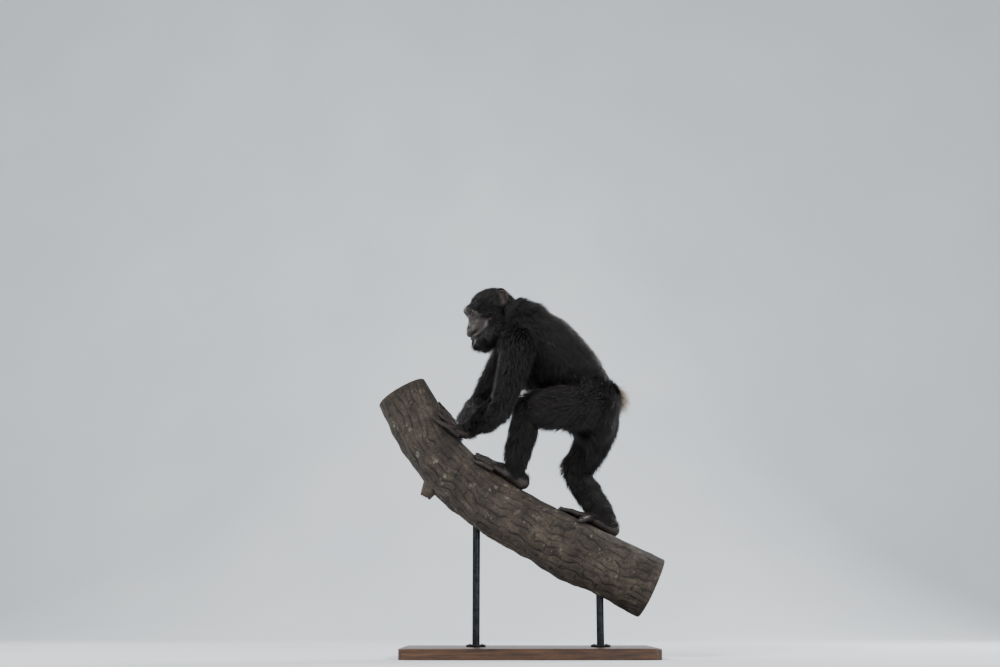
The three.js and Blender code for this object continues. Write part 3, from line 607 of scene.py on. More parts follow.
def refine(piece, heart):
    """Smaller faces on the unit ball towards the eyes and the nostrils."""
    ways = unit(points_of(piece))
    near = np.zeros(len(ways), bool)
    for sign in SIDES.values():
        for place, spread in (([86, sign * EYE["apart"], EYE["up"]], 14.5), ([109, sign * 8, -30], 9.5)):
            ray = from_head(place) - heart
            reach = np.linalg.norm(ray)
            near |= np.linalg.norm(ways - ray / reach, axis=1) * reach < spread
    chosen = [near[face.vertices[0]] for face in piece.data.polygons]
    edit(piece, "FACE", chosen, bpy.ops.mesh.subdivide, number_cuts=2, ngon=False)


def make_head():
    """A ball whose points go out from the heart of the head until they meet its surface."""
    bpy.ops.mesh.primitive_ico_sphere_add(subdivisions=7, radius=1)
    head = bpy.context.object
    head.name = "head_skin"
    heart = from_head(HEAD_HEART)
    refine(head, heart)
    ways = unit(points_of(head))
    start, stride, most = 20.0, 4.0, 150
    low = np.full(len(ways), start)
    for reach in np.arange(start + stride, most, stride):
        inside = head_distance(heart + ways * reach) < 0
        low = np.where(inside & (low >= reach - stride), reach, low)
    high = low + stride
    for _ in range(9):
        half = (low + high) / 2
        inside = head_distance(heart + ways * half[:, None]) < 0
        low = np.where(inside, half, low)
        high = np.where(inside, high, half)
    set_points(head, heart + ways * low[:, None])
    modify(head, "SMOOTH", factor=0.3, iterations=1)
    set_points(head, settle(points_of(head), head_distance, 3, 1.5))
    return head


def make_ear(side):
    """A cupped plate with a rolled rim, an inner ridge and a hollow bowl, sunk in the side of the head."""
    sign = SIDES[side]
    flare = math.radians(EAR["flare"])
    wide = head_way(-math.cos(flare), sign * math.sin(flare), 0)
    front = head_way(math.sin(flare), sign * math.cos(flare), 0)
    high = np.cross(wide, front)
    upward = math.copysign(1, high @ UP)
    middle = from_head([EAR["forward"], sign * EAR["out"], EAR["up"]]) + wide * EAR["width"] * 0.4
    turns = np.arange(EAR_SIDES) / EAR_SIDES * TURN
    rise = np.sin(turns) * upward

    def ring(share, depth):
        across = np.cos(turns) * (1 + 0.12 * rise) * (EAR["width"] / 2) * share
        along = np.sin(turns) * (1 - 0.06 * rise) * (EAR["height"] / 2) * share
        lean = -0.16 * along * upward
        spot = middle + np.outer(across - lean, wide) + np.outer(along, high)
        return spot + np.outer(np.broadcast_to(depth, turns.shape), front)

    def front_depth(share):
        outer = smoothstep(-0.75, 0.1, np.cos(turns))
        dish = -EAR["cup"] * (1 - share**2) * (0.75 + 0.25 * outer)
        rim = 2.6 * bump(share, 0.95, 0.07) * outer
        inner = 2.4 * bump(share, 0.66, 0.09) * outer * smoothstep(-0.9, 0.2, rise)
        return dish + rim + inner - 3.2 * bump(share, 0.82, 0.06) * outer

    rings = [ring(s, front_depth(s)) for s in np.linspace(0.08, 1, 20)]
    rings += [ring(s, front_depth(s) * 0.35 - EAR["cup"] * 0.4 * (1 - s**2) - EAR["thick"] * (1.25 - s))
              for s in np.linspace(0.98, 0.1, 9)]
    return loft(f"ear_skin_{side}", rings, ring(0.0, front_depth(0.0)).mean(0), rings[-1].mean(0))


def make_skin():
    """The body, head, ears, hands and feet in one closed skin, and the surface of each for the coat."""
    skin = fused(list(LIMBS.values()), body_distance, BODY_VOXEL, "skin")
    parts = [make_head(), *map(make_ear, SIDES)]
    for side in SIDES:
        for kind, limb in LEG_OF.items():
            palm, digits = PAWS[kind, side]
            leg = LIMBS[f"{limb}_{side}"].end(0.2)
            distance = paw_distance(palm, digits, leg)
            parts.append(fused([palm, *digits, leg], distance, PAW_VOXEL, f"{kind}_skin_{side}", 3))
    samples = {piece.name: surface_of(piece) for piece in (skin, *parts)}
    for part in parts:
        modify(skin, "BOOLEAN", operation="UNION", object=part, solver="MANIFOLD")
        bpy.data.objects.remove(part)
    return smooth(skin), samples


def surface_of(piece):
    """The triangles of a piece, to set tufts on: corners, outward directions and areas."""
    piece.data.calc_loop_triangles()
    count = len(piece.data.loop_triangles)
    index = np.zeros(count * 3, np.int32)
    piece.data.loop_triangles.foreach_get("vertices", index)
    corners = points_of(piece)[index.reshape(-1, 3)]
    cross = np.cross(corners[:, 1] - corners[:, 0], corners[:, 2] - corners[:, 0])
    return corners, unit(cross), np.linalg.norm(cross, axis=1) / 2


def scatter(surface, count, chance, weight=None):
    """Random places on a surface, even by area or by a weight on it."""
    corners, normals, areas = surface
    share = areas if weight is None else areas * weight(corners.mean(1), normals)
    pick = chance.choice(len(areas), size=count, p=share / share.sum())
    a, b = np.sqrt(chance.random(count)), chance.random(count)
    mix = np.stack([1 - a, a * (1 - b), a * b], 1)
    return np.einsum("ij,ijk->ik", mix, corners[pick]), normals[pick]


# The coat. Each tuft is a three-sided closed blade that tapers to a point.
STEPS = [0.0, 0.3, 0.66]
TAPER = [0.7, 1.0, 0.66]
SINK = 2.0


def swirl(p, scale, seed):
    """A smooth field of small vectors, which draws neighbouring tufts together."""
    chance = np.random.default_rng(seed)
    field = np.zeros((len(p), 3))
    for _ in range(6):
        way = unit(chance.normal(size=3)) * (TURN / scale) * chance.uniform(0.6, 1.5)
        field += np.outer(np.sin(p @ way + chance.uniform(0, 6.3)), chance.normal(size=3))
    return field / 3.5


def tufts(name, roots, normals, lies, lengths, widths, lifts, droops, shades, places):
    """One coat piece. Its OFBake map holds a small patch for each tuft at the root's place on the skin."""
    lies = unit(lies - (lies * normals).sum(1, keepdims=True) * normals)
    sag = DOWN - np.minimum((normals @ DOWN), 0)[:, None] * normals
    across = np.cross(lies, normals)

    def spine(s):
        height = -SINK * (1 - s) + lifts * s**0.8
        middle = roots + lies * (lengths * s)[:, None] + normals * height[:, None]
        return middle + sag * (droops * lengths * s**1.8)[:, None]

    rings = []
    for s, taper in zip(STEPS, TAPER):
        half = (widths * taper / 2)[:, None]
        rings += [spine(s) - across * half, spine(s) + normals * half * 0.7, spine(s) + across * half]
    points = np.stack([*rings, spine(1.0)], 1)
    count, per = points.shape[:2]
    sides = [(0, 1), (1, 2), (2, 0)]
    quads = np.array([[r + b, r + a, r + 3 + a, r + 3 + b] for r in (0, 3) for a, b in sides])
    caps = np.array([[0, 1, 2], *[[6 + b, 6 + a, 9] for a, b in sides]])
    base = (np.arange(count) * per)[:, None, None]
    corners = np.concatenate([(base + quads).ravel(), (base + caps).ravel()])
    four, three = count * quads.size, count * caps.size
    starts = np.concatenate([np.arange(0, four, 4), four + np.arange(0, three, 3)])
    piece = add_mesh(name, points.reshape(-1, 3), corners, starts)
    spot = np.array([*[[side, s] for s in (0.0, 0.35, 0.7) for side in (0.0, 0.5, 1.0)], [0.5, 1.0]]) * PATCH
    uv = (places[:, None, :] + spot).reshape(-1, 2)
    piece.data.uv_layers.new(name="OFBake").data.foreach_set("uv", uv[corners].astype(np.float32).ravel())
    store(piece, "shade", np.repeat(shades, per))
    store(piece, "along", np.tile([*np.repeat(STEPS, 3), 1.0], count))
    return smooth(piece)


# Where each part of the skin lies on the OFBake map: a grid of cells
PATCH = 0.003
CELLS = [*LIMBS, "head", "hand_left", "hand_right", "foot_left", "foot_right", "tuft"]
CELL = {"row": 4, "edge": 0.01, "room": 0.225}


def on_map(cell, along, turn):
    low, left = divmod(CELLS.index(cell), CELL["row"])
    share = np.clip(np.stack([turn, along], 1), 0, 1)
    return np.array([left, low]) / CELL["row"] + CELL["edge"] + share * CELL["room"]


# The coat of each limb: tufts on it, their length, how high their tips stand, and which way they lie
COATS = {
    "trunk": {"tufts": 24000, "length": 58, "lift": 21, "droop": 0.06, "toward": 1, "width": 3.5},
    "neck": {"tufts": 5200, "length": 46, "lift": 19, "droop": 0.06, "toward": 1, "width": 3.2},
    "upper_arm": {"tufts": 5200, "length": 54, "lift": 18, "droop": 0.12, "toward": 1, "width": 3.2},
    "forearm": {"tufts": 4300, "length": 42, "lift": 14, "droop": 0.16, "toward": -1, "width": 2.9},
    "thigh": {"tufts": 7300, "length": 54, "lift": 19, "droop": 0.14, "toward": 1, "width": 3.0},
    "shank": {"tufts": 5000, "length": 44, "lift": 16, "droop": 0.08, "toward": 1, "width": 3.0},
}


RUMP = np.array([290.0, 0.0, 905.0])
KNEE_PIT = np.array([206.0, 85.0, 652.0])


def limb_kind(name):
    return name.replace("_left", "").replace("_right", "")


def close_to(p, middle, reach):
    """1 at a place, fading to 0 at about twice the reach."""
    return np.exp(-((np.linalg.norm(p - middle, axis=1) / reach) ** 2))


def limb_distances(p):
    return np.stack([limb.distance(p) for limb in LIMBS.values()], 1)


def shades_of(count, spread, chance, drift=0.0):
    return np.clip(0.5 + drift + spread * chance.normal(size=count), 0, 1)


def limb_coat(name, surface, chance):
    """Tufts on the stretch of body skin that belongs to one limb."""
    limb = LIMBS[name]
    kind = limb_kind(name)
    plan = COATS[kind]
    middles = surface[0].mean(1)
    mine = limb_distances(middles).argmin(1) == list(LIMBS).index(name)
    mine &= skull_distance(folded(middles)) >= -2
    roots, outs = scatter([part[mine] for part in surface], plan["tufts"], chance)
    count = len(roots)
    # Where limbs meet, the coat takes something of each of them
    near = limb_distances(roots)
    weights = np.exp(-np.maximum(near - near.min(1, keepdims=True), 0) / 14)
    lies = np.zeros_like(roots)
    lengths = np.zeros(count)
    lifts = np.zeros(count)
    for weight, (other, other_limb) in zip(weights.T, LIMBS.items()):
        theirs = COATS[limb_kind(other)]
        lies += other_limb.way(other_limb.place(roots)) * theirs["toward"] * weight[:, None]
        lengths += theirs["length"] * weight
        lifts += theirs["lift"] * weight
    lengths /= weights.sum(1)
    lifts /= weights.sum(1)
    place = limb.place(roots)
    under = smoothstep(0.0, 0.8, outs @ DOWN)
    droops = np.full(count, plan["droop"])

    def change(share, longer, higher):
        lengths[:] *= 1 + longer * share
        lifts[:] *= 1 + higher * share

    if kind in ("forearm", "shank"):
        change(smoothstep(0.62, 1.0, place), -0.6, -0.66)
    if kind == "trunk":
        hanging = under * smoothstep(240, 150, roots[:, 0])
        change(hanging, 0.5, 0)
        droops = droops + 0.4 * hanging
        lies += DOWN * (0.35 + 0.9 * hanging)[:, None]
    if kind in ("trunk", "thigh"):
        change(close_to(roots, RUMP, 115), -0.35, -0.62)
    if kind == "thigh":
        lengths *= 1 + 0.1 * smoothstep(0.1, 0.9, outs[:, 0]) - 0.35 * smoothstep(0.7, 0.95, place)
        lifts *= 1 - 0.35 * under
    if kind in ("upper_arm", "forearm"):
        lengths *= 1.1 + 0.15 * under
        lifts *= 1.15
    lies = unit(lies) + 0.3 * swirl(roots, 46, 5) + 0.09 * chance.normal(size=roots.shape)
    lies += DOWN * 0.3 * under[:, None]
    for elbow in ELBOW.values():
        close = close_to(roots, elbow, 110)
        lies = lerp(lies, DOWN + 0.25 * lies * [1, 0, 1], 0.85 * close[:, None])
        change(close, -0.5, -0.36)
    pit = close_to(roots, KNEE_PIT, 34)
    lies = lerp(lies, np.array([0.75, 0.0, -0.66]), pit[:, None])
    change(pit, 0.6, 0.5)
    lengths *= chance.uniform(0.72, 1.18, count)
    lifts *= 1 + 0.22 * swirl(roots, 60, 6)[:, 0] + 0.16 * chance.normal(size=count)
    lifts = np.clip(lifts, 3, 28)
    droops = droops * (1 + 1.4 * under) + 0.03 * chance.normal(size=count)
    widths = plan["width"] * chance.uniform(0.7, 1.15, count)
    shades = shades_of(count, 0.2, chance, 0.28 * swirl(roots, 120, 7)[:, 0])
    places = on_map(name, place, limb.turn(roots, place))
    return [roots, outs, lies, lengths, widths, lifts, droops, shades, places]


def face_share(p):
    """Above 1 where hair grows, below on the bare face, in the head's frame."""
    f, l, u = p.T
    oval = (np.abs(l) / 47) ** 2 + ((u + 26) / np.where(u > -26, 64, 53)) ** 2
    return np.where(f > 26, oval, 2.0)


def mark_painted_shade_under_hair(piece):
    """Stores on the skin where hair grows, where its colour is darkened to near black as painted shade
    between the roots.
    """
    p = points_of(piece)
    headed = (np.linalg.norm(p - HEAD_MIDDLE, axis=1) < 150) & (skull_distance(folded(p)) < 5)
    hairy = smoothstep(1.0, 1.12, face_share(in_head(p)))
    furred = smoothstep(4, 1, body_distance(p))
    for kind in ("forearm", "shank"):
        for side in SIDES:
            d, place = LIMBS[f"{kind}_{side}"].nearest(p)
            furred = np.where((d < 6) & (place > 0.8), furred * smoothstep(1.0, 0.86, place), furred)
    store(piece, "painted_shade_under_hair", np.where(headed, hairy, furred))


HEAD_TUFTS = 11500
PAW_TUFTS = 1500
RUMP_TUFTS = 1000
# The places along a palm and a sole between which the hair thins out
THINNING = {"hand": [1.02, 0.55], "foot": [0.95, 0.3]}


def head_coat(surface, chance):
    """Short on the crown, longer on the cheeks, with a beard under the chin and jaws."""
    def weight(middles, normals):
        p = in_head(middles)
        hairy = smoothstep(0.96, 1.12, face_share(p))
        outside = body_distance(middles) > -3
        clear = np.linalg.norm(folded(middles) - [EAR["forward"], EAR["out"], EAR["up"]], axis=1) > 15
        under_jaw = smoothstep(-55, -82, p[:, 2]) * smoothstep(0, 40, p[:, 0])
        dense = 1 + 2.6 * under_jaw + 0.6 * smoothstep(10, 40, p[:, 2])
        return hairy * outside * clear * dense + 1e-9

    roots, outs = scatter(surface, HEAD_TUFTS, chance, weight)
    count = len(roots)
    p = in_head(roots)
    f, l, u = p.T
    crown = smoothstep(5, 34, u)
    beard = smoothstep(-55, -78, u) * smoothstep(-15, 20, f)
    chin = beard * smoothstep(62, 94, f)
    hanging = beard * np.clip(outs @ DOWN * 1.1, 0, 1)
    cheeks = head_way(-0.7, 0, -1) + np.outer(np.sign(l), head_way(0, 0.35, 0))
    lies = unit(lerp(cheeks, head_way(-1, 0, 0.1), crown[:, None]))
    lies = lerp(lies, np.array([0.1, -0.02, -1.0]), beard[:, None]) + np.outer(chin, [0.45, 0, 0])
    lies = lies + 0.2 * swirl(roots, 30, 8) + 0.07 * chance.normal(size=roots.shape)
    far = np.maximum(smoothstep(1.0, 1.7, face_share(p)), beard)
    lengths = lerp(lerp(34, 24, crown), 44, beard) * lerp(0.42, 1, far)
    lengths = lengths * (1 - 0.75 * hanging) * (1 - 0.35 * chin)
    lifts = lerp(lerp(12, 9, crown), 14, beard) * lerp(0.4, 1, far)
    lifts = lerp(lifts, 42, hanging) * (1 - 0.3 * chin)
    lengths = lengths * chance.uniform(0.7, 1.2, count)
    lifts = np.clip(lifts * (1 + 0.2 * chance.normal(size=count)), 1.5, 52)
    droops = lerp(0.04, 0.5, beard)
    widths = lerp(2.4, 3.0, beard) * chance.uniform(0.7, 1.1, count)
    shades = shades_of(count, 0.22, chance)
    places = on_map("head", (f + 90) / 200, (np.arctan2(l, u + 20) / TURN) % 1)
    return [roots, outs, lies, lengths, widths, lifts, droops, shades, places]


def paw_coat(kind, side, surface, chance):
    """Short hair on the back of a hand or the top of a foot, thinning towards the digits."""
    palm, digits = PAWS[kind, side]

    def weight(middles, normals):
        digit_near = np.min([one.distance(middles) for one in digits], axis=0)
        top = smoothstep(-0.1, 0.5, normals @ -DOWN)
        return top * smoothstep(*THINNING[kind], palm.place(middles)) * smoothstep(-2, 4, digit_near) + 1e-9

    count = PAW_TUFTS
    roots, outs = scatter(surface, count, chance, weight)
    place = palm.place(roots)
    lies = palm.way(place) + 0.15 * swirl(roots, 30, 9) + 0.1 * chance.normal(size=roots.shape)
    lengths = lerp(26, 11, place) * chance.uniform(0.7, 1.2, count)
    lifts = lerp(7, 2.5, place) * chance.uniform(0.7, 1.2, count)
    widths = 2.2 * chance.uniform(0.7, 1.1, count)
    shades = shades_of(count, 0.2, chance)
    places = on_map(f"{kind}_{side}", place, palm.turn(roots, place))
    return [roots, outs, lies, lengths, widths, lifts, np.full(count, 0.05), shades, places]


def rump_tuft(surface, chance):
    """The whitish tuft over the rump of a young animal."""
    def weight(middles, normals):
        return close_to(middles / [24, 19, 19], np.array([290.0, 0.0, 910.0]) / [24, 19, 19], 1) + 1e-12

    count = RUMP_TUFTS
    roots, outs = scatter(surface, count, chance, weight)
    lies = np.array([0.5, 0.0, -0.7]) + np.outer(roots[:, 1] / 50, ACROSS)
    lies = lies + 0.12 * chance.normal(size=roots.shape)
    lengths = 52 * chance.uniform(0.6, 1.15, count)
    lifts = 44 * chance.uniform(0.6, 1.15, count)
    widths = 2.4 * chance.uniform(0.7, 1.1, count)
    shades = chance.random(count)
    places = on_map("tuft", (roots[:, 2] - 850) / 100, (roots[:, 1] + 50) / 100)
    return [roots, outs, lies, lengths, widths, lifts, np.full(count, 0.1), shades, places]


# Materials
def linear(hex_colour):
    """An sRGB hex value as linear colour."""
    values = [int(hex_colour[i:i + 2], 16) / 255 for i in (1, 3, 5)]
    return (*[v / 12.92 if v <= 0.04045 else ((v + 0.055) / 1.055) ** 2.4 for v in values], 1.0)


def node(tree, kind, inputs=None, **settings):
    """One node with its settings, its values and its links."""
    made = tree.nodes.new(kind)
    for key, value in settings.items():
        setattr(made, key, value)
    for key, value in (inputs or {}).items():
        if isinstance(value, bpy.types.NodeSocket):
            tree.links.new(value, made.inputs[key])
        else:
            made.inputs[key].default_value = value
    return made


def material(name, roughness, **settings):
    """A new material with its shader and object coordinates."""
    made = bpy.data.materials.new(name)
    made.use_nodes = True
    tree = made.node_tree
    tree.nodes.clear()
    shader = node(tree, "ShaderNodeBsdfPrincipled", {"Roughness": roughness, **settings})
    node(tree, "ShaderNodeOutputMaterial", {"Surface": shader.outputs["BSDF"]})
    return made, shader, node(tree, "ShaderNodeTexCoord").outputs["Object"]


def attribute(shader, name):
    return node(shader.id_data, "ShaderNodeAttribute", attribute_name=name).outputs["Fac"]


def measure(kind, operation, *values, output=0):
    """A Math or VectorMath node, whose first value is a socket."""
    inputs = dict(enumerate(values))
    return node(values[0].id_data, f"ShaderNode{kind}", inputs, operation=operation).outputs[output]


def noise(coordinates, size_mm, detail=3.0, roughness=0.55, stretch=None):
    """Noise whose features are about the given size."""
    tree = coordinates.id_data
    if stretch is not None:
        values = {"Vector": coordinates, "Scale": stretch}
        coordinates = node(tree, "ShaderNodeMapping", values).outputs["Vector"]
    values = {"Vector": coordinates, "Scale": 1 / (size_mm * MM), "Detail": detail, "Roughness": roughness}
    return node(tree, "ShaderNodeTexNoise", values).outputs["Fac"]


def ramp(value, *stops):
    made = node(value.id_data, "ShaderNodeValToRGB", {"Fac": value})
    elements = made.color_ramp.elements
    while len(elements) < len(stops):
        elements.new(0.5)
    for element, (place, colour) in zip(elements, stops):
        element.position = place
        element.color = linear(colour) if isinstance(colour, str) else (colour, colour, colour, 1)
    return made.outputs["Color"]


def mix(kind, factor, a, b):
    """Two colours mixed, the first of them a socket."""
    return node(a.id_data, "ShaderNodeMix", {"Factor": factor, 6: a, 7: b}, data_type="RGBA",
                blend_type=kind).outputs[2]


def paint(shader, colour, socket="Base Color"):
    shader.id_data.links.new(colour, shader.inputs[socket])


def add_bump(shader, height, distance_mm, strength=1.0, below=None):
    inputs = {"Height": height, "Distance": distance_mm * MM, "Strength": strength}
    if below is not None:
        inputs["Normal"] = below
    normal = node(shader.id_data, "ShaderNodeBump", inputs).outputs["Normal"]
    paint(shader, normal, "Normal")
    return normal


def coarse_hair(name, dark, light, tip, roughness):
    """Coarse straight hair. The wax on it gives long soft highlights."""
    made, shader, coordinates = material(name, roughness)
    colour = ramp(attribute(shader, "shade"), (0.1, dark), (0.9, light))
    ends = ramp(attribute(shader, "along"), (0.45, 0.0), (1.0, 0.55))
    paint(shader, mix("MIX", ends, colour, linear(tip)))
    # Hairs are about 0.12 mm thick, drawn as strands of 0.6 mm so that they show
    add_bump(shader, noise(coordinates, 0.6, 2.0), 0.3, 0.5)
    return made


def creased_skin():
    """Dark leathery skin with a net of fine creases and a dull shine, darkened in the creases and near black
    under the hair as painted shade.
    """
    made, shader, coordinates = material("creased_skin", 0.5)
    blotches = noise(coordinates, 22, 4)
    colour = ramp(blotches, (0.3, "#15100d"), (0.52, "#231914"), (0.75, "#33241c"))
    # Painted shade: the skin goes near black where hair grows over it
    colour = mix("MIX", attribute(shader, "painted_shade_under_hair"), colour, linear("#0e0b0a"))
    cells = node(shader.id_data, "ShaderNodeTexVoronoi", {"Vector": coordinates, "Scale": 1 / (2.2 * MM)},
                 feature="DISTANCE_TO_EDGE").outputs["Distance"]
    creases = ramp(cells, (0.0, 0.0), (0.12, 1.0))
    # Painted shade: the colour is darker along the crease lines
    paint(shader, mix("MULTIPLY", 0.22, colour, creases))
    low = add_bump(shader, creases, 0.16, 0.4)
    add_bump(shader, noise(coordinates, 0.9, 2), 0.12, 0.5, low)
    paint(shader, ramp(blotches, (0.3, 0.5), (0.7, 0.64)), "Roughness")
    return made


def eye_glass(side):
    """A wet brown eye: black pupil, amber-brown iris, and a dark white round it."""
    made, shader, coordinates = material(f"wet_eye_{side}", 0.06)
    offset = measure("VectorMath", "SUBTRACT", coordinates, tuple(eye_middle(side) * MM))
    cosine = measure("VectorMath", "DOT_PRODUCT", offset, tuple(GAZE[side]), output="Value")
    depth = measure("Math", "DIVIDE", cosine, EYE["radius"] * MM)
    colour = ramp(depth, (0.0, "#20150f"), (0.8, "#281a13"), (0.83, "#120905"), (0.86, "#2c170b"),
                  (0.94, "#3d200e"), (0.955, "#050303"), (1.0, "#030202"))
    fibres = ramp(noise(coordinates, 0.8, 3), (0.3, 0.5), (0.7, 1.0))
    paint(shader, mix("MULTIPLY", 0.35, colour, fibres))
    return made


def horn_nail():
    """Nail horn: near black, satin, with fine ridges along it."""
    made, shader, coordinates = material("horn_nail", 0.34)
    cloud = noise(coordinates, 4, 3)
    paint(shader, ramp(cloud, (0.3, "#16110e"), (0.7, "#2e2520")))
    add_bump(shader, noise(coordinates, 0.8, 2), 0.08, 0.5)
    return made


def rough_bark():
    """Weathered bark: grey-brown plates, furrows darkened as painted shade, and pale lichen."""
    made, shader, coordinates = material("rough_bark", 0.92)
    large = noise(coordinates, 60, 5, 0.6)
    fine = noise(coordinates, 7, 5, 0.65)
    colour = ramp(large, (0.3, "#26201b"), (0.5, "#3e352d"), (0.72, "#574c41"))
    colour = mix("MULTIPLY", 0.75, colour, ramp(fine, (0.32, 0.32), (0.6, 1.0)))
    # Painted shade: the colour darkens with the depth of each furrow
    colour = mix("MULTIPLY", 0.85, colour, ramp(attribute(shader, "furrow"), (0.0, 1.0), (0.8, 0.28)))
    lichen = ramp(noise(coordinates, 42, 6, 0.7), (0.6, 0.0), (0.67, 0.55))
    paint(shader, mix("MIX", lichen, colour, linear("#7b7a6b")))
    low = add_bump(shader, fine, 1.6, 0.8)
    add_bump(shader, noise(coordinates, 1.8, 4, 0.7), 0.5, 0.7, low)
    return made


def sawn_wood(end):
    """Sawn end grain: growth rings about 3 mm apart round a heart off the middle, and saw marks."""
    made, shader, coordinates = material(f"sawn_wood_{end}", 0.72)
    middle = bough_frame(0.0 if end == "top" else BOUGH_LENGTH)[0][0]
    offset = measure("VectorMath", "SUBTRACT", coordinates, tuple((middle + [0, 9, 4]) * MM))
    length = measure("VectorMath", "LENGTH", offset, output="Value")
    wandering = measure("Math", "MULTIPLY_ADD", noise(coordinates, 40, 3), 0.012, length)
    turns = measure("Math", "MULTIPLY", wandering, TURN / (3.2 * MM))
    rings = measure("Math", "SINE", turns)
    colour = ramp(rings, (0.0, "#a1875f"), (0.75, "#876c48"), (1.0, "#664c30"))
    colour = mix("MULTIPLY", 0.6, colour, ramp(length, (0.03, "#8a6a4a"), (0.085, "#ffffff")))
    colour = mix("MULTIPLY", 0.4, colour, ramp(noise(coordinates, 9, 4), (0.3, 0.6), (0.7, 1.0)))
    paint(shader, colour)
    add_bump(shader, noise(coordinates, 1.4, 2, 0.5, (1, 8, 1)), 0.3, 0.4)
    return made


def oiled_oak():
    """Dark stained oak with open grain and a satin varnish."""
    made, shader, coordinates = material("oiled_oak", 0.38)
    grain = noise(coordinates, 7, 5, 0.6, (0.06, 1, 1))
    colour = ramp(grain, (0.32, "#2c1b10"), (0.5, "#4a301d"), (0.68, "#5f4128"))
    pores = noise(coordinates, 1.3, 3, 0.6, (0.05, 1, 1))
    paint(shader, mix("MULTIPLY", 0.5, colour, ramp(pores, (0.38, 0.35), (0.5, 1.0))))
    add_bump(shader, pores, 0.12, 0.5)
    return made


def blackened_steel():
    """Steel with a waxed black oxide: dark, satin, slightly mottled."""
    made, shader, coordinates = material("blackened_steel", 0.36, Metallic=1.0)
    cloud = noise(coordinates, 14, 4)
    paint(shader, ramp(cloud, (0.3, "#232426"), (0.7, "#3a3b3e")))
    paint(shader, ramp(cloud, (0.3, 0.3), (0.7, 0.45)), "Roughness")
    return made


def dress(piece, finish, slot, *nodes):
    """The piece gets its material, rides on the one body, and stands for the nodes. Its slot is not used."""
    piece.data.materials.clear()
    piece.data.materials.append(finish)
    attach(piece, "root")
    if nodes:
        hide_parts(*nodes)


# The animal
skin, surfaces = make_skin()
mark_painted_shade_under_hair(skin)
flesh = ["head", "ear_left", "ear_right", "neck", "torso"]
for side in SIDES:
    flesh += [f"{kind}_{side}" for kind in ("upper_arm", "forearm", "hand", "thigh", "shank", "foot")]
dress(skin, creased_skin(), "bare_skin", *flesh)

hair = coarse_hair("coarse_black_hair", "#080706", "#15110f", "#241b16", 0.45)
pale = coarse_hair("whitish_hair", "#a09480", "#d2c9b8", "#e6dfd0", 0.6)


def coat_piece(name, coats, finish=hair, slot="black_hair"):
    """One piece from the coats of some parts of the animal."""
    dress(tufts(name, *map(np.concatenate, zip(*coats))), finish, slot)


chance = np.random.default_rng(4767)
body = surfaces["skin"]
trunk = limb_coat("trunk", body, chance)
shoulders, loins = np.array_split(np.argsort(trunk[0][:, 0]), 2)
coat_piece("coat_shoulders", [[column[shoulders] for column in trunk]])
coat_piece("coat_loins", [[column[loins] for column in trunk]])
coat_piece("coat_head", [head_coat(surfaces["head_skin"], chance)])
neck = limb_coat("neck", body, chance)
paws = [paw_coat(kind, side, surfaces[f"{kind}_skin_{side}"], chance) for side in SIDES for kind in LEG_OF]
coat_piece("coat_neck_hands_feet", [neck, *paws])
for side in SIDES:
    for name, kinds in (("arm", ("upper_arm", "forearm")), ("leg", ("thigh", "shank"))):
        coat_piece(f"coat_{name}_{side}", [limb_coat(f"{kind}_{side}", body, chance) for kind in kinds])
coat_piece("coat_rump_tuft", [rump_tuft(body, chance)], pale, "pale_hair")

# Eyes
GAZE = {side: unit(head_way(1, 0.1 * sign, -0.12)) for side, sign in SIDES.items()}


def eye_middle(side):
    return from_head([EYE["forward"], SIDES[side] * EYE["apart"], EYE["up"]])


def make_eye(side):
    """An eyeball with the clear front bulging a little."""
    bpy.ops.mesh.primitive_uv_sphere_add(segments=48, ring_count=32, radius=EYE["radius"] * MM)
    eye = bpy.context.object
    eye.name = f"eyeball_{side}"
    p = points_of(eye)
    bulge = 1 + 0.055 * smoothstep(0.83, 0.97, unit(p) @ GAZE[side])
    set_points(eye, p * bulge[:, None] + eye_middle(side))
    return smooth(eye)


for side in SIDES:
    dress(make_eye(side), eye_glass(side), "eyes", f"eye_{side}")


# Nails
def make_nail(name, one):
    """A curved plate on the back of a digit's last joint."""
    tip, before = one.middle[-1], one.middle[-4]
    way = unit(tip - before)
    radius = one.width[-1]
    foot = bough_line[np.argmin(np.linalg.norm(bough_line - tip, axis=1))]
    up = unit(-DOWN * 0.2 + tip - foot)
    up = unit(up - (up @ way) * way)
    across = np.cross(way, up)
    bpy.ops.mesh.primitive_grid_add(x_subdivisions=10, y_subdivisions=10, size=2)
    nail = bpy.context.object
    nail.name = name
    x, y, _ = points_of(nail).T * MM
    outer = np.maximum(y, 0)
    turn = x * 0.95 * np.sqrt(1 - 0.3 * outer**2)
    height = radius * np.cos(turn) + 0.6 - 1.6 * outer**2 - np.maximum(-y - 0.6, 0)
    spot = tip + np.outer(radius * (y + 0.25), way) + np.outer(radius * 0.946 * np.sin(turn), across)
    set_points(nail, spot + np.outer(height, up))
    modify(nail, "SOLIDIFY", thickness=1.1 * MM, offset=0.0)
    modify(nail, "SUBSURF", levels=1, render_levels=1)
    return nail


nails = [make_nail(f"nail_{kind}_{side}_{i}", one)
         for (kind, side), (_, digits) in PAWS.items() for i, one in enumerate(digits)]
dress(smooth(join(nails, "nails")), horn_nail(), "nails")


# The bough
BARK = {"step": 3.0, "turns": 216, "furrow": 4.6}


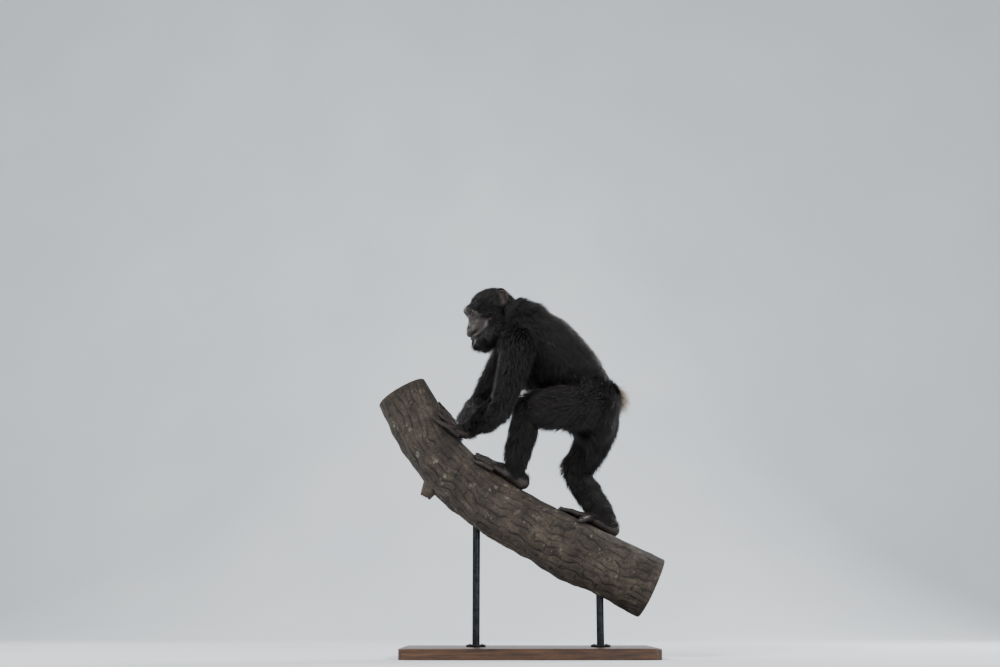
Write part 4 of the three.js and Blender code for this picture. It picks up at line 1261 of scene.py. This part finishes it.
def bark_height(points, along, turn):
    """Long furrows that wander, part and meet, with cracks across the plates between them."""
    wide = swirl(points, 150, 31)
    fine = swirl(points, 42, 32)
    under = ((1 - np.cos(turn)) / 2) ** 0.6
    worn = lerp(0.5, 1.0, np.clip(under * 1.6, 0, 1))
    rows = np.abs(np.sin(turn * 12 + 2.6 * wide[:, 0] + 0.7 * fine[:, 0]))
    cracks = np.abs(np.sin(along / 30 + 3 * wide[:, 1] + 1.3 * fine[:, 1]))
    deep = 0.4 + 0.6 * smoothstep(-0.6, 0.4, swirl(points, 70, 33)[:, 0])
    broken = smoothstep(-0.1, 0.5, fine[:, 2])
    furrow = np.maximum(np.exp(-((rows / 0.3) ** 2)) * deep, 0.8 * np.exp(-((cracks / 0.2) ** 2)) * broken)
    return furrow * worn, 1.1 * fine[:, 1] * worn


def make_bough():
    """The bark with its furrows and the sawn ends, and the sawn end that each face belongs to."""
    rings = int(BOUGH_LENGTH / BARK["step"])
    alongs = np.linspace(0, BOUGH_LENGTH, rings + 1)
    turns = np.arange(BARK["turns"]) / BARK["turns"] * TURN
    middle, way, up = bough_frame(alongs)
    side = np.cross(way, up)
    rows = []
    furrows = []
    under = ((1 - np.cos(turns)) / 2) ** 0.6
    for k, along in enumerate(alongs):
        share = along / BOUGH_LENGTH
        wave = (np.sin(share * 19 + turns * 2) + 0.7 * np.sin(share * 31 - turns * 3 + 1)
                + 0.5 * np.sin(turns * 4))
        radius = bough_radius(along) * (1 + BOUGH["rough"] * under * wave)
        spoke = np.outer(np.cos(turns), up[k]) + np.outer(np.sin(turns), side[k])
        furrow, lumps = bark_height(middle[k] + spoke * radius[:, None], along, turns)
        edge = min(along, BOUGH_LENGTH - along)
        worn = 3.0 * max(0.0, 1 - edge / 4) ** 2
        radius = radius + lumps - furrow * BARK["furrow"] - 0.4 - worn
        rows.append(middle[k] + spoke * radius[:, None])
        furrows.append(furrow)
    insets = [0.8, 0.5, 0.22]
    top, foot = ([lerp(rows[k].mean(0), rows[k], s) for s in insets] for k in (0, -1))
    bough = loft("bark_and_wood", [*top[::-1], *rows, *foot], rows[0].mean(0), rows[-1].mean(0))
    sawn = np.zeros(1 + len(insets) * BARK["turns"])
    # How deep each point lies in a furrow, for the painted shade in the bark's colour
    store(bough, "furrow", np.concatenate([sawn, *furrows, sawn]))
    faces = bough.data.polygons
    centres, normals = np.zeros((2, len(faces) * 3), np.float32)
    faces.foreach_get("center", centres)
    faces.foreach_get("normal", normals)
    ends = np.zeros(len(faces), np.int32)
    for k, end in ((0, 1), (-1, 2)):
        off = (centres.reshape(-1, 3) / MM - middle[k]) @ way[k]
        ends[(np.abs(off) < 1.5) & (np.abs(normals.reshape(-1, 3) @ way[k]) > 0.9)] = end
    faces.foreach_set("use_smooth", ends == 0)
    return bough, ends


def make_stub():
    """The broken foot of a side shoot, splintered at its end."""
    middle, way, up = bough_frame(STUB["along"])
    lean = unit(-up[0] + way[0] * STUB["lean"])
    over = np.cross(lean, ACROSS)
    turns = np.arange(STUB["sides"]) / STUB["sides"] * TURN
    reach = bough_radius(STUB["along"])
    ragged = np.random.default_rng(12).uniform(-5, 3, STUB["sides"])
    rows = []
    for k, (share, beyond, radius) in enumerate(STUB_RINGS):
        bark = 1 + 0.035 * np.sin(turns * 9 + k) + 0.02 * np.sin(turns * 17 - k)
        tips = ragged * (1 if k >= 5 else 0)
        spoke = np.outer(np.cos(turns), ACROSS) + np.outer(np.sin(turns), over)
        out = reach * share + beyond + tips
        rows.append(middle[0] + np.outer(out, lean) + spoke * (radius * bark)[:, None])
    return smooth(loft("broken_shoot", rows, rows[0].mean(0), rows[-1].mean(0)))


bark = rough_bark()
bough, bough_ends = make_bough()
dress(bough, bark, "bark", "bough")
for end in ("top", "foot"):
    bough.data.materials.append(sawn_wood(end))
bough.data.polygons.foreach_set("material_index", bough_ends)
dress(make_stub(), bark, "bark")


# The stand
def make_base():
    """A board with rounded corners and eased edges."""
    bpy.ops.mesh.primitive_cube_add(size=1)
    base = bpy.context.object
    base.name = "base_board"
    size = np.array([BASE["length"], BASE["width"], BASE["height"]])
    p = points_of(base) * MM
    set_points(base, p * size + [BASE["middle"], 0, BASE["height"] / 2])
    z = points_of(base)[:, 2]
    upright = [abs(z[a] - z[b]) > BASE["height"] / 2 for a, b in (edge.vertices for edge in base.data.edges)]
    edit(base, "EDGE", upright, bpy.ops.mesh.bevel, offset=BASE["corner"] * MM, segments=12)
    return smooth_faces(eased(base, BASE["edge"], 4))


def eased(piece, width, segments):
    return modify(piece, "BEVEL", width=width * MM, segments=segments, limit_method="ANGLE")


def smooth_faces(piece):
    only(piece)
    bpy.ops.object.shade_smooth_by_angle(angle=math.radians(35))
    return piece


def cylinder(sides, radius, low, high, x, y=0.0):
    bpy.ops.mesh.primitive_cylinder_add(vertices=sides, radius=radius * MM, depth=(high - low) * MM,
                                        location=Vector((x, y, (low + high) / 2)) * MM)
    bpy.ops.object.transform_apply(location=True, rotation=True, scale=True)
    return bpy.context.object


def make_rod(end):
    """A turned rod with a screwed collar at its foot."""
    x, top = ROD[end]
    foot = BASE["height"] + ROD["gap"]
    deck = foot + ROD["collar_height"]
    collar = eased(cylinder(64, ROD["collar"], foot, deck, x), 1.6, 3)
    parts = [cylinder(48, ROD["radius"], foot, top, x), collar]
    for k in range(3):
        turn = TURN * (k + 0.25) / 3
        spot = (x + SCREW["circle"] * math.cos(turn), SCREW["circle"] * math.sin(turn))
        screw = cylinder(24, SCREW["radius"], deck + SCREW["low"], deck + SCREW["high"], *spot)
        parts.append(eased(screw, 0.7, 2))
    return smooth_faces(join(parts, f"rod_and_collar_{end}"))


dress(make_base(), oiled_oak(), "oak", "stand_base")
steel = blackened_steel()
for end in ("front", "rear"):
    dress(make_rod(end), steel, "blackened_steel", f"stand_rod_{end}")


# Floor, backdrop, light and camera
def make_sweep():
    """A pale floor that curves up into a backdrop behind the model."""
    turn_start, radius, height = 2.6, 1.8, 6.0
    profile = [(-9.0, 0.0), (turn_start, 0.0)]
    for k in range(1, 25):
        angle = k / 24 * math.pi / 2
        profile.append((turn_start + radius * math.sin(angle), radius * (1 - math.cos(angle))))
    profile.append((turn_start + radius, height))
    points = np.array([[x, y, z] for y, z in profile for x in (-9.0, 9.0)])
    corners = np.concatenate([[2 * k, 2 * k + 1, 2 * k + 3, 2 * k + 2] for k in range(len(profile) - 1)])
    sweep = add_mesh("studio_sweep", points / MM, corners, np.arange(0, len(corners), 4))
    paper, shader, coordinates = material("studio_paper", 0.9)
    paint(shader, ramp(noise(coordinates, 900, 2), (0.3, "#dde2e6"), (0.7, "#e5e8ea")))
    sweep.data.materials.append(paper)
    smooth(sweep)


make_sweep()

CAMERA = {"place": (-0.108, -4.393, 0.157), "rise": math.radians(12.5), "lens": 45.0}
camera_data = bpy.data.cameras.new("camera")
camera_data.lens = CAMERA["lens"]
camera_data.sensor_width = 36.0
camera = add_object("camera", camera_data)
camera.location = CAMERA["place"]
camera.rotation_euler = (math.pi / 2 + CAMERA["rise"], 0, 0)
bpy.context.scene.camera = camera

LOOK_AT = Vector((0, 0, 0.95))
LIGHTS = {
    "key": {"place": (-2.6, -3.0, 3.4), "power": 210, "size": 1.6},
    "fill": {"place": (2.8, -3.2, 1.6), "power": 65, "size": 2.4},
    "rim_left": {"place": (-2.6, 1.9, 2.6), "power": 55, "size": 1.2},
    "rim_right": {"place": (2.8, 1.8, 2.4), "power": 140, "size": 1.2},
}
for name, plan in LIGHTS.items():
    light = bpy.data.lights.new(name, "AREA")
    light.energy = plan["power"]
    light.size = plan["size"]
    lamp = add_object(name, light)
    lamp.location = plan["place"]
    lamp.rotation_euler = (LOOK_AT - Vector(plan["place"])).to_track_quat("-Z", "Y").to_euler()

world = bpy.data.worlds.new("soft_sky")
bpy.context.scene.world = world
world.use_nodes = True
sky = world.node_tree.nodes["Background"].inputs
sky["Color"].default_value = linear("#e4e9f0")
sky["Strength"].default_value = 0.7
